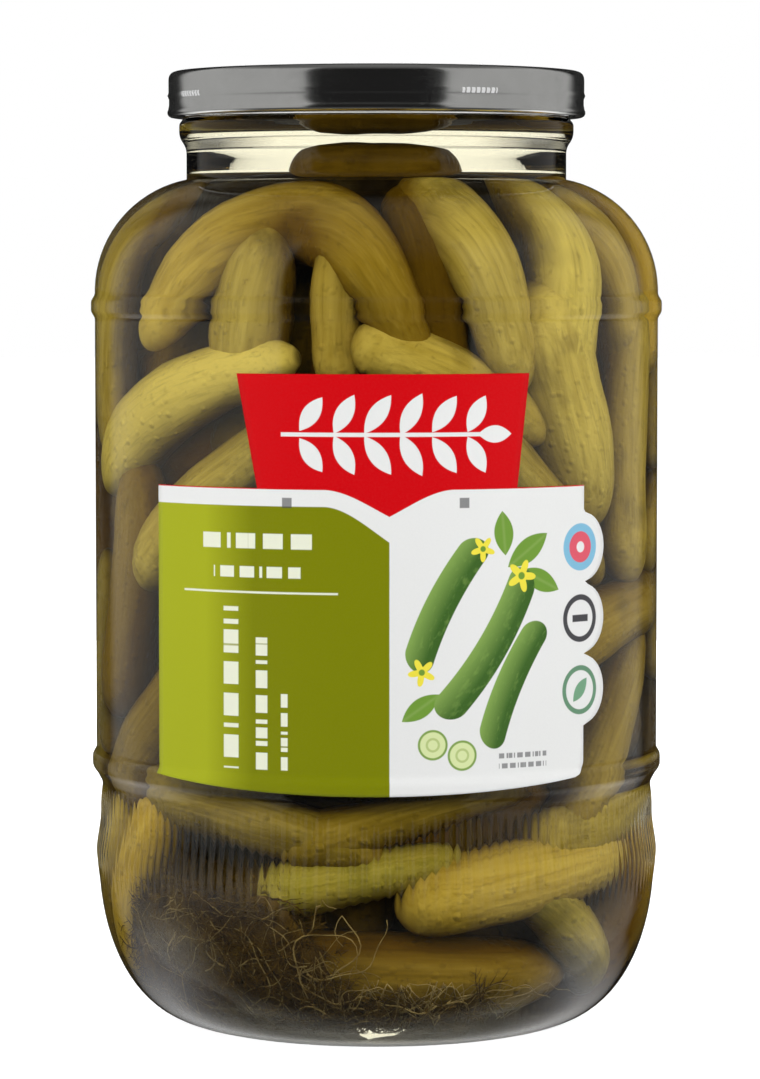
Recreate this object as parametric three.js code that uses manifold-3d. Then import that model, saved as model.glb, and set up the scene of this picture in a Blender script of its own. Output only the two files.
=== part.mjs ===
// A shut 1.5 litre glass jar of pickled cucumbers, with a twist-off cap and a paper label on the front.
// Millimetres, +Z up. The origin is the middle of the jar's base, and the label faces -Y.
// An azimuth is measured from the front, -Y, towards +X.
import * as THREE from "three";
import { mergeVertices } from "three/addons/utils/BufferGeometryUtils.js";
import Module from "manifold-3d";

const wasm = await Module();
wasm.setup();

// Glass, outside
const BODY_RADIUS = 58.35;
const STAND_OUTER = 36;
const STAND_INNER = 32.5;
const PUNT_HEIGHT = 2.2;
const HEEL_TOP = 35;
const HEEL_RADIUS = 58;
const HEEL_POWER = 2.15;
const GROOVE_RADIUS = 57.05;
const GROOVE_LOW = 43.5;
const GROOVE_HIGH = 49.2;
const RIDGE_RADIUS = 59.15;
const LOWER_RIDGE = 54.4;
const UPPER_RIDGE = 148.4;
const RIDGE_HALF = 3.4;
const SHOULDER_HEIGHT = 151.4;
const SHOULDER_CENTRE = 34.8;
const SHOULDER_CURVE = 23.55;
const NECK_RADIUS = 39.3;
const NECK_TOP = 181;
const BEAD_RADIUS = 40.8;
const BEAD_LOW = 183.2;
const BEAD_HIGH = 186;
const FINISH_RADIUS = 40;
const RIM_HEIGHT = 195.7;

// Glass, inside
const WALL = 2.25;
const FLOOR_HEIGHT = 4.6;
const INNER_RADIUS = BODY_RADIUS - WALL;
const INNER_HEEL = 33;
const INNER_HEEL_TOP = 36;
const NECK_INNER = 36.6;
const GLASS_SEGMENTS = 32;

// Upright ribs in the band under the lower ridge. They fade out above GROOVE_LOW and below HEEL_TOP.
const RIB_COUNT = 160;
const RIB_LOW = 30;
const RIB_DEPTH = 0.45;

// Cap
const CAP_RADIUS = 43.25;
const CAP_TOP = 196.7;
const CAP_BOTTOM = 187.3;
const CAP_SHEET = 0.6;
const CAP_CORNER = 1.9;
const CAP_PANEL = 35.2;
const CAP_PANEL_DROP = 0.75;
const CAP_BUTTON = 15;
const CAP_BUTTON_DROP = 0.45;
const CURL_INNER = 41.7;
const CURL_HEIGHT = 1.9;

// Label, flat, as millimetres along the arc and heights
const LABEL_GAP = 0.3;
const LABEL_SHEET = 0.3;
const LABEL_ARC = 58.8;
const LABEL_LEFT = -49;
const LABEL_RIGHT = 46;
const LABEL_TOP = 113.4;
const LABEL_BOTTOM = 53.2;
const LABEL_CORNER_RISE = 2.4;
const LABEL_CORNER = 3;
const PANEL_TOP = 135.8;
const PANEL_TOP_LEFT = -28.6;
const PANEL_TOP_RIGHT = 31.7;
const PANEL_LOW_LEFT = -24.1;
const PANEL_LOW_RIGHT = 29;
const PANEL_STEPS = 5;
const BADGE_RADIUS = 7;
const BADGE_HEIGHTS = [101.1, 86.9, 72.6];
const BADGE_INSET = 0.8;

// Cucumbers
const REFERENCE_GIRTH = 8.4;
const WALL_CLEARANCE = 0.5;
const WALL_FOLLOW = 0.62;
const FRONT_FOLLOW = 0.92;
const LANE_START = 16;
const LANE_TOP = 176;
const LEAST_TURN_RADIUS = 25.6;
const SPINE_SAMPLES = [-1, -0.5, 0, 0.5, 1];
const TOUCH = 0.93;
const RULED_COUNT = 34;
const RULED_FROM = 80;
const RULED_SPAN = 205;
const TRIES = 40;
const SETTLE_STEPS = 90;
const LARGEST_MOVE = 3;
const LARGEST_TURN = 0.1;
const SEED = 11;
const HOOK_BOW = 10;
const SIDES = 6;
const CORE_DEPTH = 14;
const CORE_SEGMENTS = 18;
const CORE_FLOOR = 9;
const CORE_TOP = 173;

// Dill at the bottom, as azimuths in degrees, heights and depths from the glass
const DILL_LEFT = -64;
const DILL_RIGHT = 26;
const DILL_STEP = -14;
const DILL_FOOT = 6.8;
const DILL_HIGH = 31;
const DILL_LOW = 11.5;
const DILL_GAP = 0.6;
const DILL_CLEARANCE = 0.45;

const degrees = Math.PI / 180;

// A repeatable random number from 0 to 1.
function chance(index, turn) {
  const wave = Math.sin(index * 12.9898 + turn * 78.233 + SEED) * 43758.5453;
  return wave - Math.floor(wave);
}

function point(r, z) {
  return new THREE.Vector2(r, z);
}

// A quarter of a superellipse from the foot (footR, footZ) up to the wall (wallR, wallZ).
function heelCurve(footR, footZ, wallR, wallZ, steps) {
  const points = [];
  for (let i = 0; i <= steps; i++) {
    const angle = (i / steps) * 90 * degrees;
    const out = Math.sin(angle) ** (2 / HEEL_POWER);
    const down = Math.cos(angle) ** (2 / HEEL_POWER);
    points.push(point(footR + (wallR - footR) * out, wallZ - (wallZ - footZ) * down));
  }
  return points;
}

// An arc of the shoulder, from one elevation to another, in degrees.
function shoulderCurve(radius, from, to, steps) {
  const points = [];
  for (let i = 0; i <= steps; i++) {
    const angle = (from + ((to - from) * i) / steps) * degrees;
    const r = SHOULDER_CENTRE + radius * Math.cos(angle);
    points.push(point(r, SHOULDER_HEIGHT + radius * Math.sin(angle)));
  }
  return points;
}

// The bulge of a ridge above the radii below and above it.
function ridgeCurve(height, below, above) {
  return [
    point(below, height - RIDGE_HALF),
    point(RIDGE_RADIUS - 0.3, height - RIDGE_HALF * 0.6),
    point(RIDGE_RADIUS, height - RIDGE_HALF * 0.2),
    point(RIDGE_RADIUS, height + RIDGE_HALF * 0.25),
    point(above, height + RIDGE_HALF),
  ];
}

// The outside of the wall from the stand up to the neck's foot.
function outerWall() {
  const neckAngle = Math.acos((NECK_RADIUS - SHOULDER_CENTRE) / SHOULDER_CURVE) / degrees;
  return [
    ...heelCurve(STAND_OUTER, 0, HEEL_RADIUS, HEEL_TOP, 6).slice(0, -1),
    point(HEEL_RADIUS - 0.2, RIB_LOW),
    point(HEEL_RADIUS, HEEL_TOP),
    point(GROOVE_RADIUS, GROOVE_LOW),
    point(GROOVE_RADIUS, GROOVE_HIGH),
    ...ridgeCurve(LOWER_RIDGE, GROOVE_RADIUS + 0.9, BODY_RADIUS),
    ...ridgeCurve(UPPER_RIDGE, BODY_RADIUS, BODY_RADIUS - 0.05),
    ...shoulderCurve(SHOULDER_CURVE, 12, neckAngle, 5),
  ];
}

// The inside of the wall from the floor up to the mouth.
function innerWall() {
  const neckAngle = Math.acos((NECK_INNER - SHOULDER_CENTRE) / (SHOULDER_CURVE - WALL)) / degrees;
  return [
    ...heelCurve(INNER_HEEL, FLOOR_HEIGHT, INNER_RADIUS, INNER_HEEL_TOP, 4),
    ...shoulderCurve(SHOULDER_CURVE - WALL, 0, neckAngle, 4),
    point(NECK_INNER, NECK_TOP),
  ];
}

// The radius of a wall at a height, between the points of its profile.
function radiusAt(profile, z) {
  for (let i = 1; i < profile.length; i++) {
    const [a, b] = [profile[i - 1], profile[i]];
    if (z <= b.y && b.y > a.y) return a.x + ((b.x - a.x) * Math.max(0, z - a.y)) / (b.y - a.y);
  }
  return profile[profile.length - 1].x;
}

// A profile turned about the Z axis. Azimuth 0 is -Y.
function turned(profile, segments) {
  return new THREE.LatheGeometry(profile, segments).rotateX(90 * degrees);
}

function solidOf(geometry) {
  const bare = geometry.clone();
  bare.deleteAttribute("normal");
  bare.deleteAttribute("uv");
  const merged = mergeVertices(bare, 1e-4);
  const mesh = new wasm.Mesh({
    numProp: 3,
    vertProperties: new Float32Array(merged.attributes.position.array),
    triVerts: new Uint32Array(merged.index.array),
  });
  return new wasm.Manifold(mesh);
}

function geometryOf(solid) {
  const mesh = solid.getMesh();
  const position = new Float32Array(mesh.numVert * 3);
  for (let i = 0; i < mesh.numVert; i++)
    position.set(mesh.vertProperties.subarray(i * mesh.numProp, i * mesh.numProp + 3), i * 3);
  const geometry = new THREE.BufferGeometry();
  geometry.setAttribute("position", new THREE.BufferAttribute(position, 3));
  geometry.setIndex(new THREE.BufferAttribute(mesh.triVerts, 1));
  return geometry;
}

// The largest closed body of a solid: loose scraps and sealed hollows are left behind.
function largestBody(solid) {
  return solid.decompose().reduce((best, body) => (body.volume() > best.volume() ? body : best));
}

function namedMesh(name, geometry, colour, roughness, metalness = 0, opacity = 1) {
  geometry.computeVertexNormals();
  const material = new THREE.MeshStandardMaterial({ color: colour, roughness, metalness });
  material.flatShading = true;
  material.transparent = opacity < 1;
  material.opacity = opacity;
  const mesh = new THREE.Mesh(geometry, material);
  mesh.name = name;
  return mesh;
}

// A ring of points about the Z axis, every second one pushed out where the ring is ribbed.
function ringOf({ x: r, y: z }, count, push = 0) {
  const ring = [];
  for (let i = 0; i < count; i++) {
    const angle = (i / count) * 360 * degrees;
    const out = r + (i % 2) * push;
    ring.push(new THREE.Vector3(out * Math.sin(angle), -out * Math.cos(angle), z));
  }
  return ring;
}

// A closed skin over rings in order. Neighbouring rings may have different counts.
function skinOf(rings) {
  const starts = [0];
  for (const ring of rings) starts.push(starts[starts.length - 1] + ring.length);
  const index = [];
  for (let k = 0; k < rings.length - 1; k++) {
    const [n, m] = [rings[k].length, rings[k + 1].length];
    const low = (i) => starts[k] + (i % n);
    const high = (j) => starts[k + 1] + (j % m);
    let [i, j] = [0, 0];
    while (i < n || j < m) {
      if (i < n && (i + 0.5) / n <= (j + 0.5) / m) {
        if (n > 1) index.push(low(i), low(i + 1), high(j));
        i++;
      } else {
        if (m > 1) index.push(low(i), high(j + 1), high(j));
        j++;
      }
    }
  }
  const geometry = new THREE.BufferGeometry().setFromPoints(rings.flat());
  geometry.setIndex(index);
  return geometry;
}

function glassJar() {
  const profile = [
    point(0, PUNT_HEIGHT),
    point(STAND_INNER - 6, PUNT_HEIGHT * 0.7),
    point(STAND_INNER, 0),
    ...outerWall(),
    point(NECK_RADIUS, NECK_TOP),
    point(BEAD_RADIUS, BEAD_LOW),
    point(BEAD_RADIUS, BEAD_HIGH),
    point(FINISH_RADIUS, BEAD_HIGH + 0.9),
    point(FINISH_RADIUS, RIM_HEIGHT - 1),
    point(FINISH_RADIUS - 0.8, RIM_HEIGHT),
    point(NECK_INNER + 0.8, RIM_HEIGHT),
    point(NECK_INNER, RIM_HEIGHT - 0.8),
    ...innerWall().reverse(),
    point(0, FLOOR_HEIGHT + PUNT_HEIGHT * 0.6),
  ];
  const rings = profile.map((p) => {
    if (p.x === 0) return ringOf(p, 1);
    const ribbed = p.x >= GROOVE_RADIUS && p.y >= HEEL_TOP && p.y <= GROOVE_LOW;
    return ribbed ? ringOf(p, RIB_COUNT * 2, RIB_DEPTH) : ringOf(p, GLASS_SEGMENTS);
  });
  return namedMesh("jar", geometryOf(outwards(skinOf(rings))), 0xdfe6d8, 0.05, 0, 0.35);
}

function cap() {
  const inner = CAP_RADIUS - CAP_SHEET;
  const under = CAP_TOP - CAP_SHEET;
  const panel = CAP_TOP - CAP_PANEL_DROP;
  const profile = [
    point(0, panel - CAP_BUTTON_DROP),
    point(CAP_BUTTON - 1.5, panel - CAP_BUTTON_DROP),
    point(CAP_BUTTON, panel),
    point(CAP_PANEL - 1, panel),
    point(CAP_PANEL + 0.6, CAP_TOP),
    point(CAP_RADIUS - CAP_CORNER, CAP_TOP),
    point(CAP_RADIUS - CAP_CORNER * 0.3, CAP_TOP - CAP_CORNER * 0.3),
    point(CAP_RADIUS, CAP_TOP - CAP_CORNER),
    point(CAP_RADIUS, CAP_BOTTOM + 0.6),
    point(CAP_RADIUS - 0.6, CAP_BOTTOM),
    point(CURL_INNER, CAP_BOTTOM + 0.5),
    point(CURL_INNER, CAP_BOTTOM + CURL_HEIGHT),
    point(inner, CAP_BOTTOM + CURL_HEIGHT + 0.6),
    point(inner, CAP_TOP - CAP_CORNER - 0.1),
    point(inner - CAP_CORNER * 0.7, under),
    point(CAP_PANEL + 0.2, under),
    point(CAP_PANEL - 1.2, panel - CAP_SHEET),
    point(CAP_BUTTON + 0.2, panel - CAP_SHEET),
    point(CAP_BUTTON - 1.3, panel - CAP_BUTTON_DROP - CAP_SHEET),
    point(0, panel - CAP_BUTTON_DROP - CAP_SHEET),
  ].reverse();
  return namedMesh("lid", turned(profile, GLASS_SEGMENTS), 0x202124, 0.3, 0.4);
}

// A slanting edge in short steps, so that it stays straight once it is bent round the jar.
function slantTo(shape, from, to) {
  for (let i = 0; i <= PANEL_STEPS; i++) {
    const step = from.clone().lerp(to, i / PANEL_STEPS);
    shape.lineTo(step.x, step.y);
  }
}

// The label's cut outline, extruded and bent round the axis, so that it cuts along the radius.
function labelCutter() {
  const sheet = new THREE.Shape();
  const middle = (LABEL_LEFT + LABEL_RIGHT) / 2;
  sheet.moveTo(LABEL_LEFT, LABEL_BOTTOM + LABEL_CORNER_RISE);
  sheet.quadraticCurveTo(
    middle,
    LABEL_BOTTOM - LABEL_CORNER_RISE,
    LABEL_RIGHT - LABEL_CORNER,
    LABEL_BOTTOM + LABEL_CORNER_RISE,
  );
  const corner = LABEL_BOTTOM + LABEL_CORNER_RISE;
  sheet.quadraticCurveTo(LABEL_RIGHT, corner, LABEL_RIGHT, corner + LABEL_CORNER);
  sheet.lineTo(LABEL_RIGHT, LABEL_TOP);
  sheet.lineTo(LABEL_LEFT, LABEL_TOP);
  const panel = new THREE.Shape();
  panel.moveTo(PANEL_LOW_LEFT, LABEL_TOP - 1);
  panel.lineTo(PANEL_LOW_RIGHT, LABEL_TOP - 1);
  slantTo(panel, point(PANEL_LOW_RIGHT, LABEL_TOP), point(PANEL_TOP_RIGHT, PANEL_TOP));
  slantTo(panel, point(PANEL_TOP_LEFT, PANEL_TOP), point(PANEL_LOW_LEFT, LABEL_TOP));
  const shapes = [sheet, panel];
  for (const height of BADGE_HEIGHTS) {
    const badge = new THREE.Shape();
    badge.absarc(LABEL_RIGHT - BADGE_INSET, height, BADGE_RADIUS, 0, 360 * degrees, false);
    shapes.push(badge);
  }
  const flat = shapes
    .map((shape) => new THREE.ExtrudeGeometry(shape, { depth: 1, bevelEnabled: false, curveSegments: 8 }))
    .map(solidOf)
    .reduce((whole, piece) => whole.add(piece));
  const bent = geometryOf(flat);
  const position = bent.attributes.position;
  const near = BODY_RADIUS * 0.85;
  const far = BODY_RADIUS * 1.8;
  for (let i = 0; i < position.count; i++) {
    const angle = position.getX(i) / LABEL_ARC;
    const r = position.getZ(i) > 0.5 ? far : near;
    position.setXYZ(i, r * Math.sin(angle), -r * Math.cos(angle), position.getY(i));
  }
  return solidOf(bent);
}

function label() {
  const wall = outerWall();
  const heights = [-0.6, -0.2, 0.25, 1].map((share) => LOWER_RIDGE + share * RIDGE_HALF);
  heights.push(PANEL_TOP + 2);
  const inside = heights.map((z) => point(radiusAt(wall, z) + LABEL_GAP, z));
  const outside = inside.map((p) => point(p.x + LABEL_SHEET, p.y)).reverse();
  const band = turned([...inside, ...outside, inside[0]].reverse(), GLASS_SEGMENTS * 2);
  const paper = solidOf(band).intersect(labelCutter());
  return namedMesh("label", geometryOf(largestBody(paper)), 0xe9e9ec, 0.5);
}

// The path that the middle of a cucumber against the wall follows: up the heel, the wall, the shoulder and
// the neck.
function laneOf(depth) {
  const gap = depth + WALL_CLEARANCE;
  const points = [
    point(LANE_START, FLOOR_HEIGHT + gap),
    ...heelCurve(INNER_HEEL, FLOOR_HEIGHT + gap, INNER_RADIUS - gap, INNER_HEEL_TOP, 8),
    ...shoulderCurve(SHOULDER_CURVE - WALL - gap, 0, 75, 6),
    point(NECK_INNER - gap, SHOULDER_HEIGHT + SHOULDER_CURVE - WALL - gap + 5),
    point(NECK_INNER - gap, LANE_TOP),
  ];
  const lengths = [0];
  for (let i = 1; i < points.length; i++) lengths.push(lengths[i - 1] + points[i].distanceTo(points[i - 1]));
  const total = lengths[lengths.length - 1];
  return {
    total,
    at(length) {
      const l = Math.min(Math.max(length, 0), total);
      let i = 1;
      while (i < points.length - 1 && lengths[i] < l) i++;
      return points[i - 1].clone().lerp(points[i], (l - lengths[i - 1]) / (lengths[i] - lengths[i - 1]));
    },
    lengthAt(z) {
      let i = 1;
      while (i < points.length - 1 && points[i].y < z) i++;
      const share = (z - points[i - 1].y) / (points[i].y - points[i - 1].y);
      return lengths[i - 1] + share * (lengths[i] - lengths[i - 1]);
    },
  };
}

// A cucumber's place: its azimuth, its length up the lane, its tilt from level, half its length between the
// middles of its round ends, its girth as a radius, its bow, how far it is sunk behind the others, and
// whether it keeps its place.
function cucumber(azimuth, along, tilt, length, thickness, bow, sunk, kept) {
  return {
    azimuth: azimuth * degrees,
    along,
    tilt: tilt * degrees,
    girth: thickness / 2,
    half: (length - thickness) / 2,
    bow,
    sunk,
    kept,
  };
}

// A point on a cucumber's spine pressed against the wall. share runs from -1 to 1.
function wallPoint(lane, c, share) {
  const straight = c.half * share;
  const bow = c.bow * (1 - share * share);
  const across = straight * Math.cos(c.tilt) - bow * Math.sin(c.tilt);
  const up = straight * Math.sin(c.tilt) + bow * Math.cos(c.tilt);
  const place = lane.at(c.along + up);
  const turn = across / Math.max(lane.at(c.along).x, LEAST_TURN_RADIUS);
  const azimuth = c.azimuth + turn;
  const r = place.x + REFERENCE_GIRTH - c.girth - c.sunk;
  return {
    across,
    up,
    azimuth,
    over: Math.min(c.along + up, 0) + Math.max(c.along + up - lane.total, 0),
    p: new THREE.Vector3(r * Math.sin(azimuth), -r * Math.cos(azimuth), place.y),
  };
}

// A cucumber is stiffer than the wall is round, so its spine lies between the wall and its own chord.
function spinePoint(lane, c, share) {
  const low = wallPoint(lane, c, -1).p;
  const high = wallPoint(lane, c, 1).p;
  const chord = low.lerp(high, (share + 1) / 2);
  return chord.lerp(wallPoint(lane, c, share).p, c.kept ? FRONT_FOLLOW : WALL_FOLLOW);
}

// How far two cucumbers are apart: the least gap between their samples, as a share of what they need.
function apart(lane, a, b) {
  let least = Infinity;
  for (const s of SPINE_SAMPLES)
    for (const t of SPINE_SAMPLES) {
      const gap = wallPoint(lane, a, s).p.distanceTo(wallPoint(lane, b, t).p);
      least = Math.min(least, gap / (a.girth + b.girth));
    }
  return least;
}

// The cucumbers that stand up in the neck and those that show at the front, from the top down. Each has its
// azimuth, height, tilt, length, thickness, bow and how far it is sunk, in degrees and millimetres.
function frontCucumbers(lane) {
  const rows = [
    [4, 175, 8, 46, 14, 2, 7],
    [-120, 174, -12, 46, 14, 2, 5],
    [128, 174, 14, 44, 14, 2, 6],
    [-22, 148, -6, 58, 13.5, 22, 0],
    [-30, 147, 82, 34, 14, 0, 2.5],
    [-8, 150, 88, 36, 9, 1, 4],
    [-74, 146, 80, 56, 13, 4, 0],
    [24, 155, -71, 48, 14, 2, 0],
    [50, 155, 81, 48, 14, -2, 0],
    [66, 150, -74, 44, 12, 2, 2],
    [84, 158, 86, 48, 13, 0, 0],
    [-50, 127, 27, 60, 14.5, 3, 0],
    [-38, 111, 40, 56, 13, 1, 1],
    [18, 133, -28, 44, 12, 1, 2],
    [48, 129, -72, 52, 17, 0, 0],
    [36, 113, -46, 56, 13, 0, 2],
    [72, 122, 86, 60, 13, 2, 0],
    [-69, 92, 78, 56, 14, -2, 0],
    [-52, 66, 46, 50, 14, 2, 0],
    [66, 84, 12, 50, 13.5, 2, 0],
    [63, 63, 58, 50, 14, 0, 1],
    [38, 34, 8, 56, 14, 1, 0],
    [14, 17, -5, 60, 14, 0, 0.5],
    [52, 23, -40, 44, 11, 0, 1],
    [-4, 36, 12, 40, 10, 0, 2],
    [-64, 33, 62, 46, 13, 2, 0],
    [66, 45, 8, 50, 13, 0, 1],
    [-28, 46, -14, 54, 14, 2, 0.5],
    [8, 50, 20, 54, 13, 0, 1],
  ];
  return rows.map(([azimuth, height, ...rest]) => cucumber(azimuth, lane.lengthAt(height), ...rest, true));
}

// A cucumber of the rest, chosen at random from what its turn gives.
function ruledCucumber(lane, index, turn) {
  const upright = chance(index, turn + 1) < 0.55;
  const tilt = upright ? 60 + 60 * chance(index, turn + 2) : -50 + 100 * chance(index, turn + 2);
  const length = 54 + 16 * chance(index, 3);
  const half = length / 2;
  const reach = half * Math.abs(Math.sin(tilt * degrees));
  const along = reach - 4 + (lane.total - 2 * reach + 6) * chance(index, turn + 4);
  const bow = -4 + 9 * chance(index, 6);
  const azimuth = RULED_FROM + RULED_SPAN * chance(index, turn + 5);
  return cucumber(azimuth, along, tilt, length, 13 + 3 * chance(index, 7), bow, 0, false);
}

// Pushes cucumbers that overlap apart, along the wall.
function settle(lane, all) {
  for (let step = 0; step < SETTLE_STEPS; step++) {
    const spines = all.map((c) => SPINE_SAMPLES.map((s) => wallPoint(lane, c, s)));
    const moves = all.map(() => [0, 0, 0]);
    all.forEach((a, i) => {
      if (a.kept) return;
      all.forEach((b, j) => {
        if (i === j) return;
        for (const s of spines[i])
          for (const t of spines[j]) {
            const push = s.p.clone().sub(t.p);
            const need = (a.girth + b.girth) * TOUCH;
            const gap = push.length();
            if (gap >= need || gap < 1e-6) continue;
            push.multiplyScalar(((need - gap) / gap) * (b.kept ? 0.24 : 0.12));
            const sideways = push.x * Math.cos(s.azimuth) + push.y * Math.sin(s.azimuth);
            const low = lane.at(a.along + s.up - 0.5);
            const high = lane.at(a.along + s.up + 0.5);
            const outwards = push.x * Math.sin(s.azimuth) - push.y * Math.cos(s.azimuth);
            const upwards = (high.x - low.x) * outwards + (high.y - low.y) * push.z;
            moves[i][0] += sideways;
            moves[i][1] += upwards;
            moves[i][2] += (s.across * upwards - s.up * sideways) / (a.half * a.half);
          }
      });
      for (const s of spines[i]) moves[i][1] -= s.over * 0.3;
    });
    all.forEach((c, i) => {
      const [sideways, upwards, turning] = moves[i];
      const r = Math.max(lane.at(c.along).x, LEAST_TURN_RADIUS);
      c.azimuth += THREE.MathUtils.clamp(sideways, -LARGEST_MOVE, LARGEST_MOVE) / r;
      c.along += THREE.MathUtils.clamp(upwards, -LARGEST_MOVE, LARGEST_MOVE);
      c.tilt += THREE.MathUtils.clamp(turning, -LARGEST_TURN, LARGEST_TURN);
    });
  }
}

// Every cucumber against the wall: those at the front, then the rest, each at the freest of its tries.
function outerCucumbers(lane) {
  const all = frontCucumbers(lane);
  for (let index = 0; index < RULED_COUNT; index++) {
    let best = null;
    let most = -1;
    for (let turn = 0; turn < TRIES; turn++) {
      const tried = ruledCucumber(lane, index, turn * 10 + 10);
      const free = Math.min(...all.map((c) => apart(lane, tried, c)));
      if (free > most) [best, most] = [tried, free];
    }
    all.push(best);
  }
  settle(lane, all);
  return all;
}

// The thickness along a cucumber, as a share of its girth. share runs from -1 to 1 over its whole length.
function taper(share) {
  return (1 - Math.abs(share) ** (5 - 1.5 * share)) ** 0.5 * (1 - 0.1 * share);
}

// A cucumber with few sides about its spine.
function cucumberGeometry(lane, c, rings) {
  const reach = (c.half + c.girth) / c.half;
  const centre = (share) => {
    if (Math.abs(share) <= 1) return spinePoint(lane, c, share);
    const end = spinePoint(lane, c, Math.sign(share));
    const before = spinePoint(lane, c, Math.sign(share) * 0.8);
    return end.clone().add(end.clone().sub(before).multiplyScalar((Math.abs(share) - 1) / 0.2));
  };
  const position = [];
  const index = [];
  const radial = new THREE.Vector3();
  for (let k = 0; k <= rings + 1; k++) {
    const share = -Math.cos((k / (rings + 1)) * 180 * degrees);
    const middle = centre(share * reach);
    if (k === 0 || k === rings + 1) {
      position.push(middle);
      continue;
    }
    const ahead = centre(share * reach + 0.01).sub(centre(share * reach - 0.01)).normalize();
    radial.set(middle.x, middle.y, 0).normalize();
    const side = new THREE.Vector3().crossVectors(ahead, radial).normalize();
    const out = new THREE.Vector3().crossVectors(side, ahead);
    for (let i = 0; i < SIDES; i++) {
      const angle = (i / SIDES) * 360 * degrees;
      const r = c.girth * taper(share);
      position.push(
        middle
          .clone()
          .addScaledVector(out, r * Math.cos(angle))
          .addScaledVector(side, r * Math.sin(angle)),
      );
    }
  }
  const last = position.length - 1;
  for (let i = 0; i < SIDES; i++) {
    const next = (i + 1) % SIDES;
    index.push(0, 1 + next, 1 + i);
    for (let k = 0; k < rings - 1; k++) {
      const [a, b] = [1 + k * SIDES, 1 + (k + 1) * SIDES];
      index.push(a + i, a + next, b + next, a + i, b + next, b + i);
    }
    const top = 1 + (rings - 1) * SIDES;
    index.push(last, top + i, top + next);
  }
  const geometry = new THREE.BufferGeometry().setFromPoints(position);
  geometry.setIndex(index);
  return geometry;
}

// A closed body, turned right side out.
function outwards(geometry) {
  let solid = solidOf(geometry);
  if (solid.volume() < 0) {
    const turned = geometry.clone();
    const order = Array.from(turned.index.array);
    for (let i = 0; i < order.length; i += 3) [order[i + 1], order[i + 2]] = [order[i + 2], order[i + 1]];
    turned.setIndex(order);
    solid = solidOf(turned);
  }
  return solid;
}

// The dill that has sunk to the front left of the heel: a lumpy patch against the glass, high on the left and
// low on the right. grow makes it larger all round.
function dillBody(grow) {
  const position = [];
  const index = [];
  const columns = 14;
  const rows = 5;
  const inner = innerWall();
  for (const face of [0, 1])
    for (let j = 0; j <= rows; j++)
      for (let i = 0; i <= columns; i++) {
        const share = i / columns;
        const azimuth = THREE.MathUtils.lerp(DILL_LEFT, DILL_RIGHT, share);
        const fall = THREE.MathUtils.smoothstep(azimuth, DILL_STEP - 8, DILL_STEP + 8);
        const ragged = 2.4 * (chance(i, 40) - 0.5) - 9 * Math.max(0, 0.16 - share) / 0.16;
        const crest = THREE.MathUtils.lerp(DILL_HIGH, DILL_LOW, fall) + ragged;
        const z = THREE.MathUtils.lerp(DILL_FOOT - grow, crest + grow, j / rows);
        const edge = Math.min(j, rows - j, i, columns - i) === 0 ? 0 : 1;
        const lump = 1.2 + edge * (2.2 + 3.2 * chance(i + 31 * j, 41));
        const depth = face ? lump + grow : DILL_GAP - Math.min(grow, 0.2);
        const r = radiusAt(inner, z) - depth;
        const turn = azimuth * degrees + (grow / r) * (2 * share - 1);
        const lift = face ? depth * 0.5 : 0;
        position.push(new THREE.Vector3(r * Math.sin(turn), -r * Math.cos(turn), z + lift));
      }
  const width = columns + 1;
  const size = width * (rows + 1);
  const quad = (a, b, c, d) => index.push(a, b, c, a, c, d);
  for (let j = 0; j < rows; j++)
    for (let i = 0; i < columns; i++) {
      const a = j * width + i;
      quad(a, a + 1, a + 1 + width, a + width);
      quad(size + a, size + a + width, size + a + 1 + width, size + a + 1);
    }
  for (let i = 0; i < columns; i++) {
    quad(i, size + i, size + i + 1, i + 1);
    const top = rows * width + i;
    quad(top, top + 1, size + top + 1, size + top);
  }
  for (let j = 0; j < rows; j++) {
    const a = j * width;
    quad(a, a + width, size + a + width, size + a);
    const b = a + columns;
    quad(b, size + b, size + b + width, b + width);
  }
  const geometry = new THREE.BufferGeometry().setFromPoints(position);
  geometry.setIndex(index);
  return outwards(geometry);
}

function dill() {
  return namedMesh("dill", geometryOf(largestBody(dillBody(0))), 0x4e4a2a, 0.8);
}

// The heap of cucumbers: a core inside them, and each one that shows fused on.
function pickles() {
  const lane = laneOf(REFERENCE_GIRTH);
  const floor = FLOOR_HEIGHT + CORE_FLOOR;
  const profile = [
    point(0, floor),
    ...heelCurve(INNER_HEEL - CORE_FLOOR, floor, INNER_RADIUS - CORE_DEPTH, INNER_HEEL_TOP, 3),
    point(INNER_RADIUS - CORE_DEPTH, SHOULDER_HEIGHT),
    point(NECK_INNER - CORE_DEPTH, SHOULDER_HEIGHT + SHOULDER_CURVE - CORE_DEPTH),
    point(NECK_INNER - CORE_DEPTH - 5, CORE_TOP),
    point(0, CORE_TOP),
  ];
  let heap = outwards(turned(profile, CORE_SEGMENTS).toNonIndexed());
  for (const c of outerCucumbers(lane)) {
    const rings = c.bow > HOOK_BOW ? 8 : 4;
    heap = heap.add(outwards(cucumberGeometry(lane, c, rings)));
  }
  heap = heap.subtract(dillBody(DILL_CLEARANCE));
  return namedMesh("pickles", geometryOf(largestBody(heap)), 0x8a7a33, 0.45);
}

const part = new THREE.Group();
part.add(glassJar(), cap(), label(), pickles(), dill());
export default part;
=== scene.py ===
"""A shut glass jar of pickled cucumbers in brine, dressed for a plain studio picture.

Sizes in the classes are millimetres, and become metres when a mesh is made. The label faces -Y, and an
azimuth is measured from there towards +X.
"""

import logging
import math
from dataclasses import dataclass, field
from enum import Enum
from typing import Callable, Sequence

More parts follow.
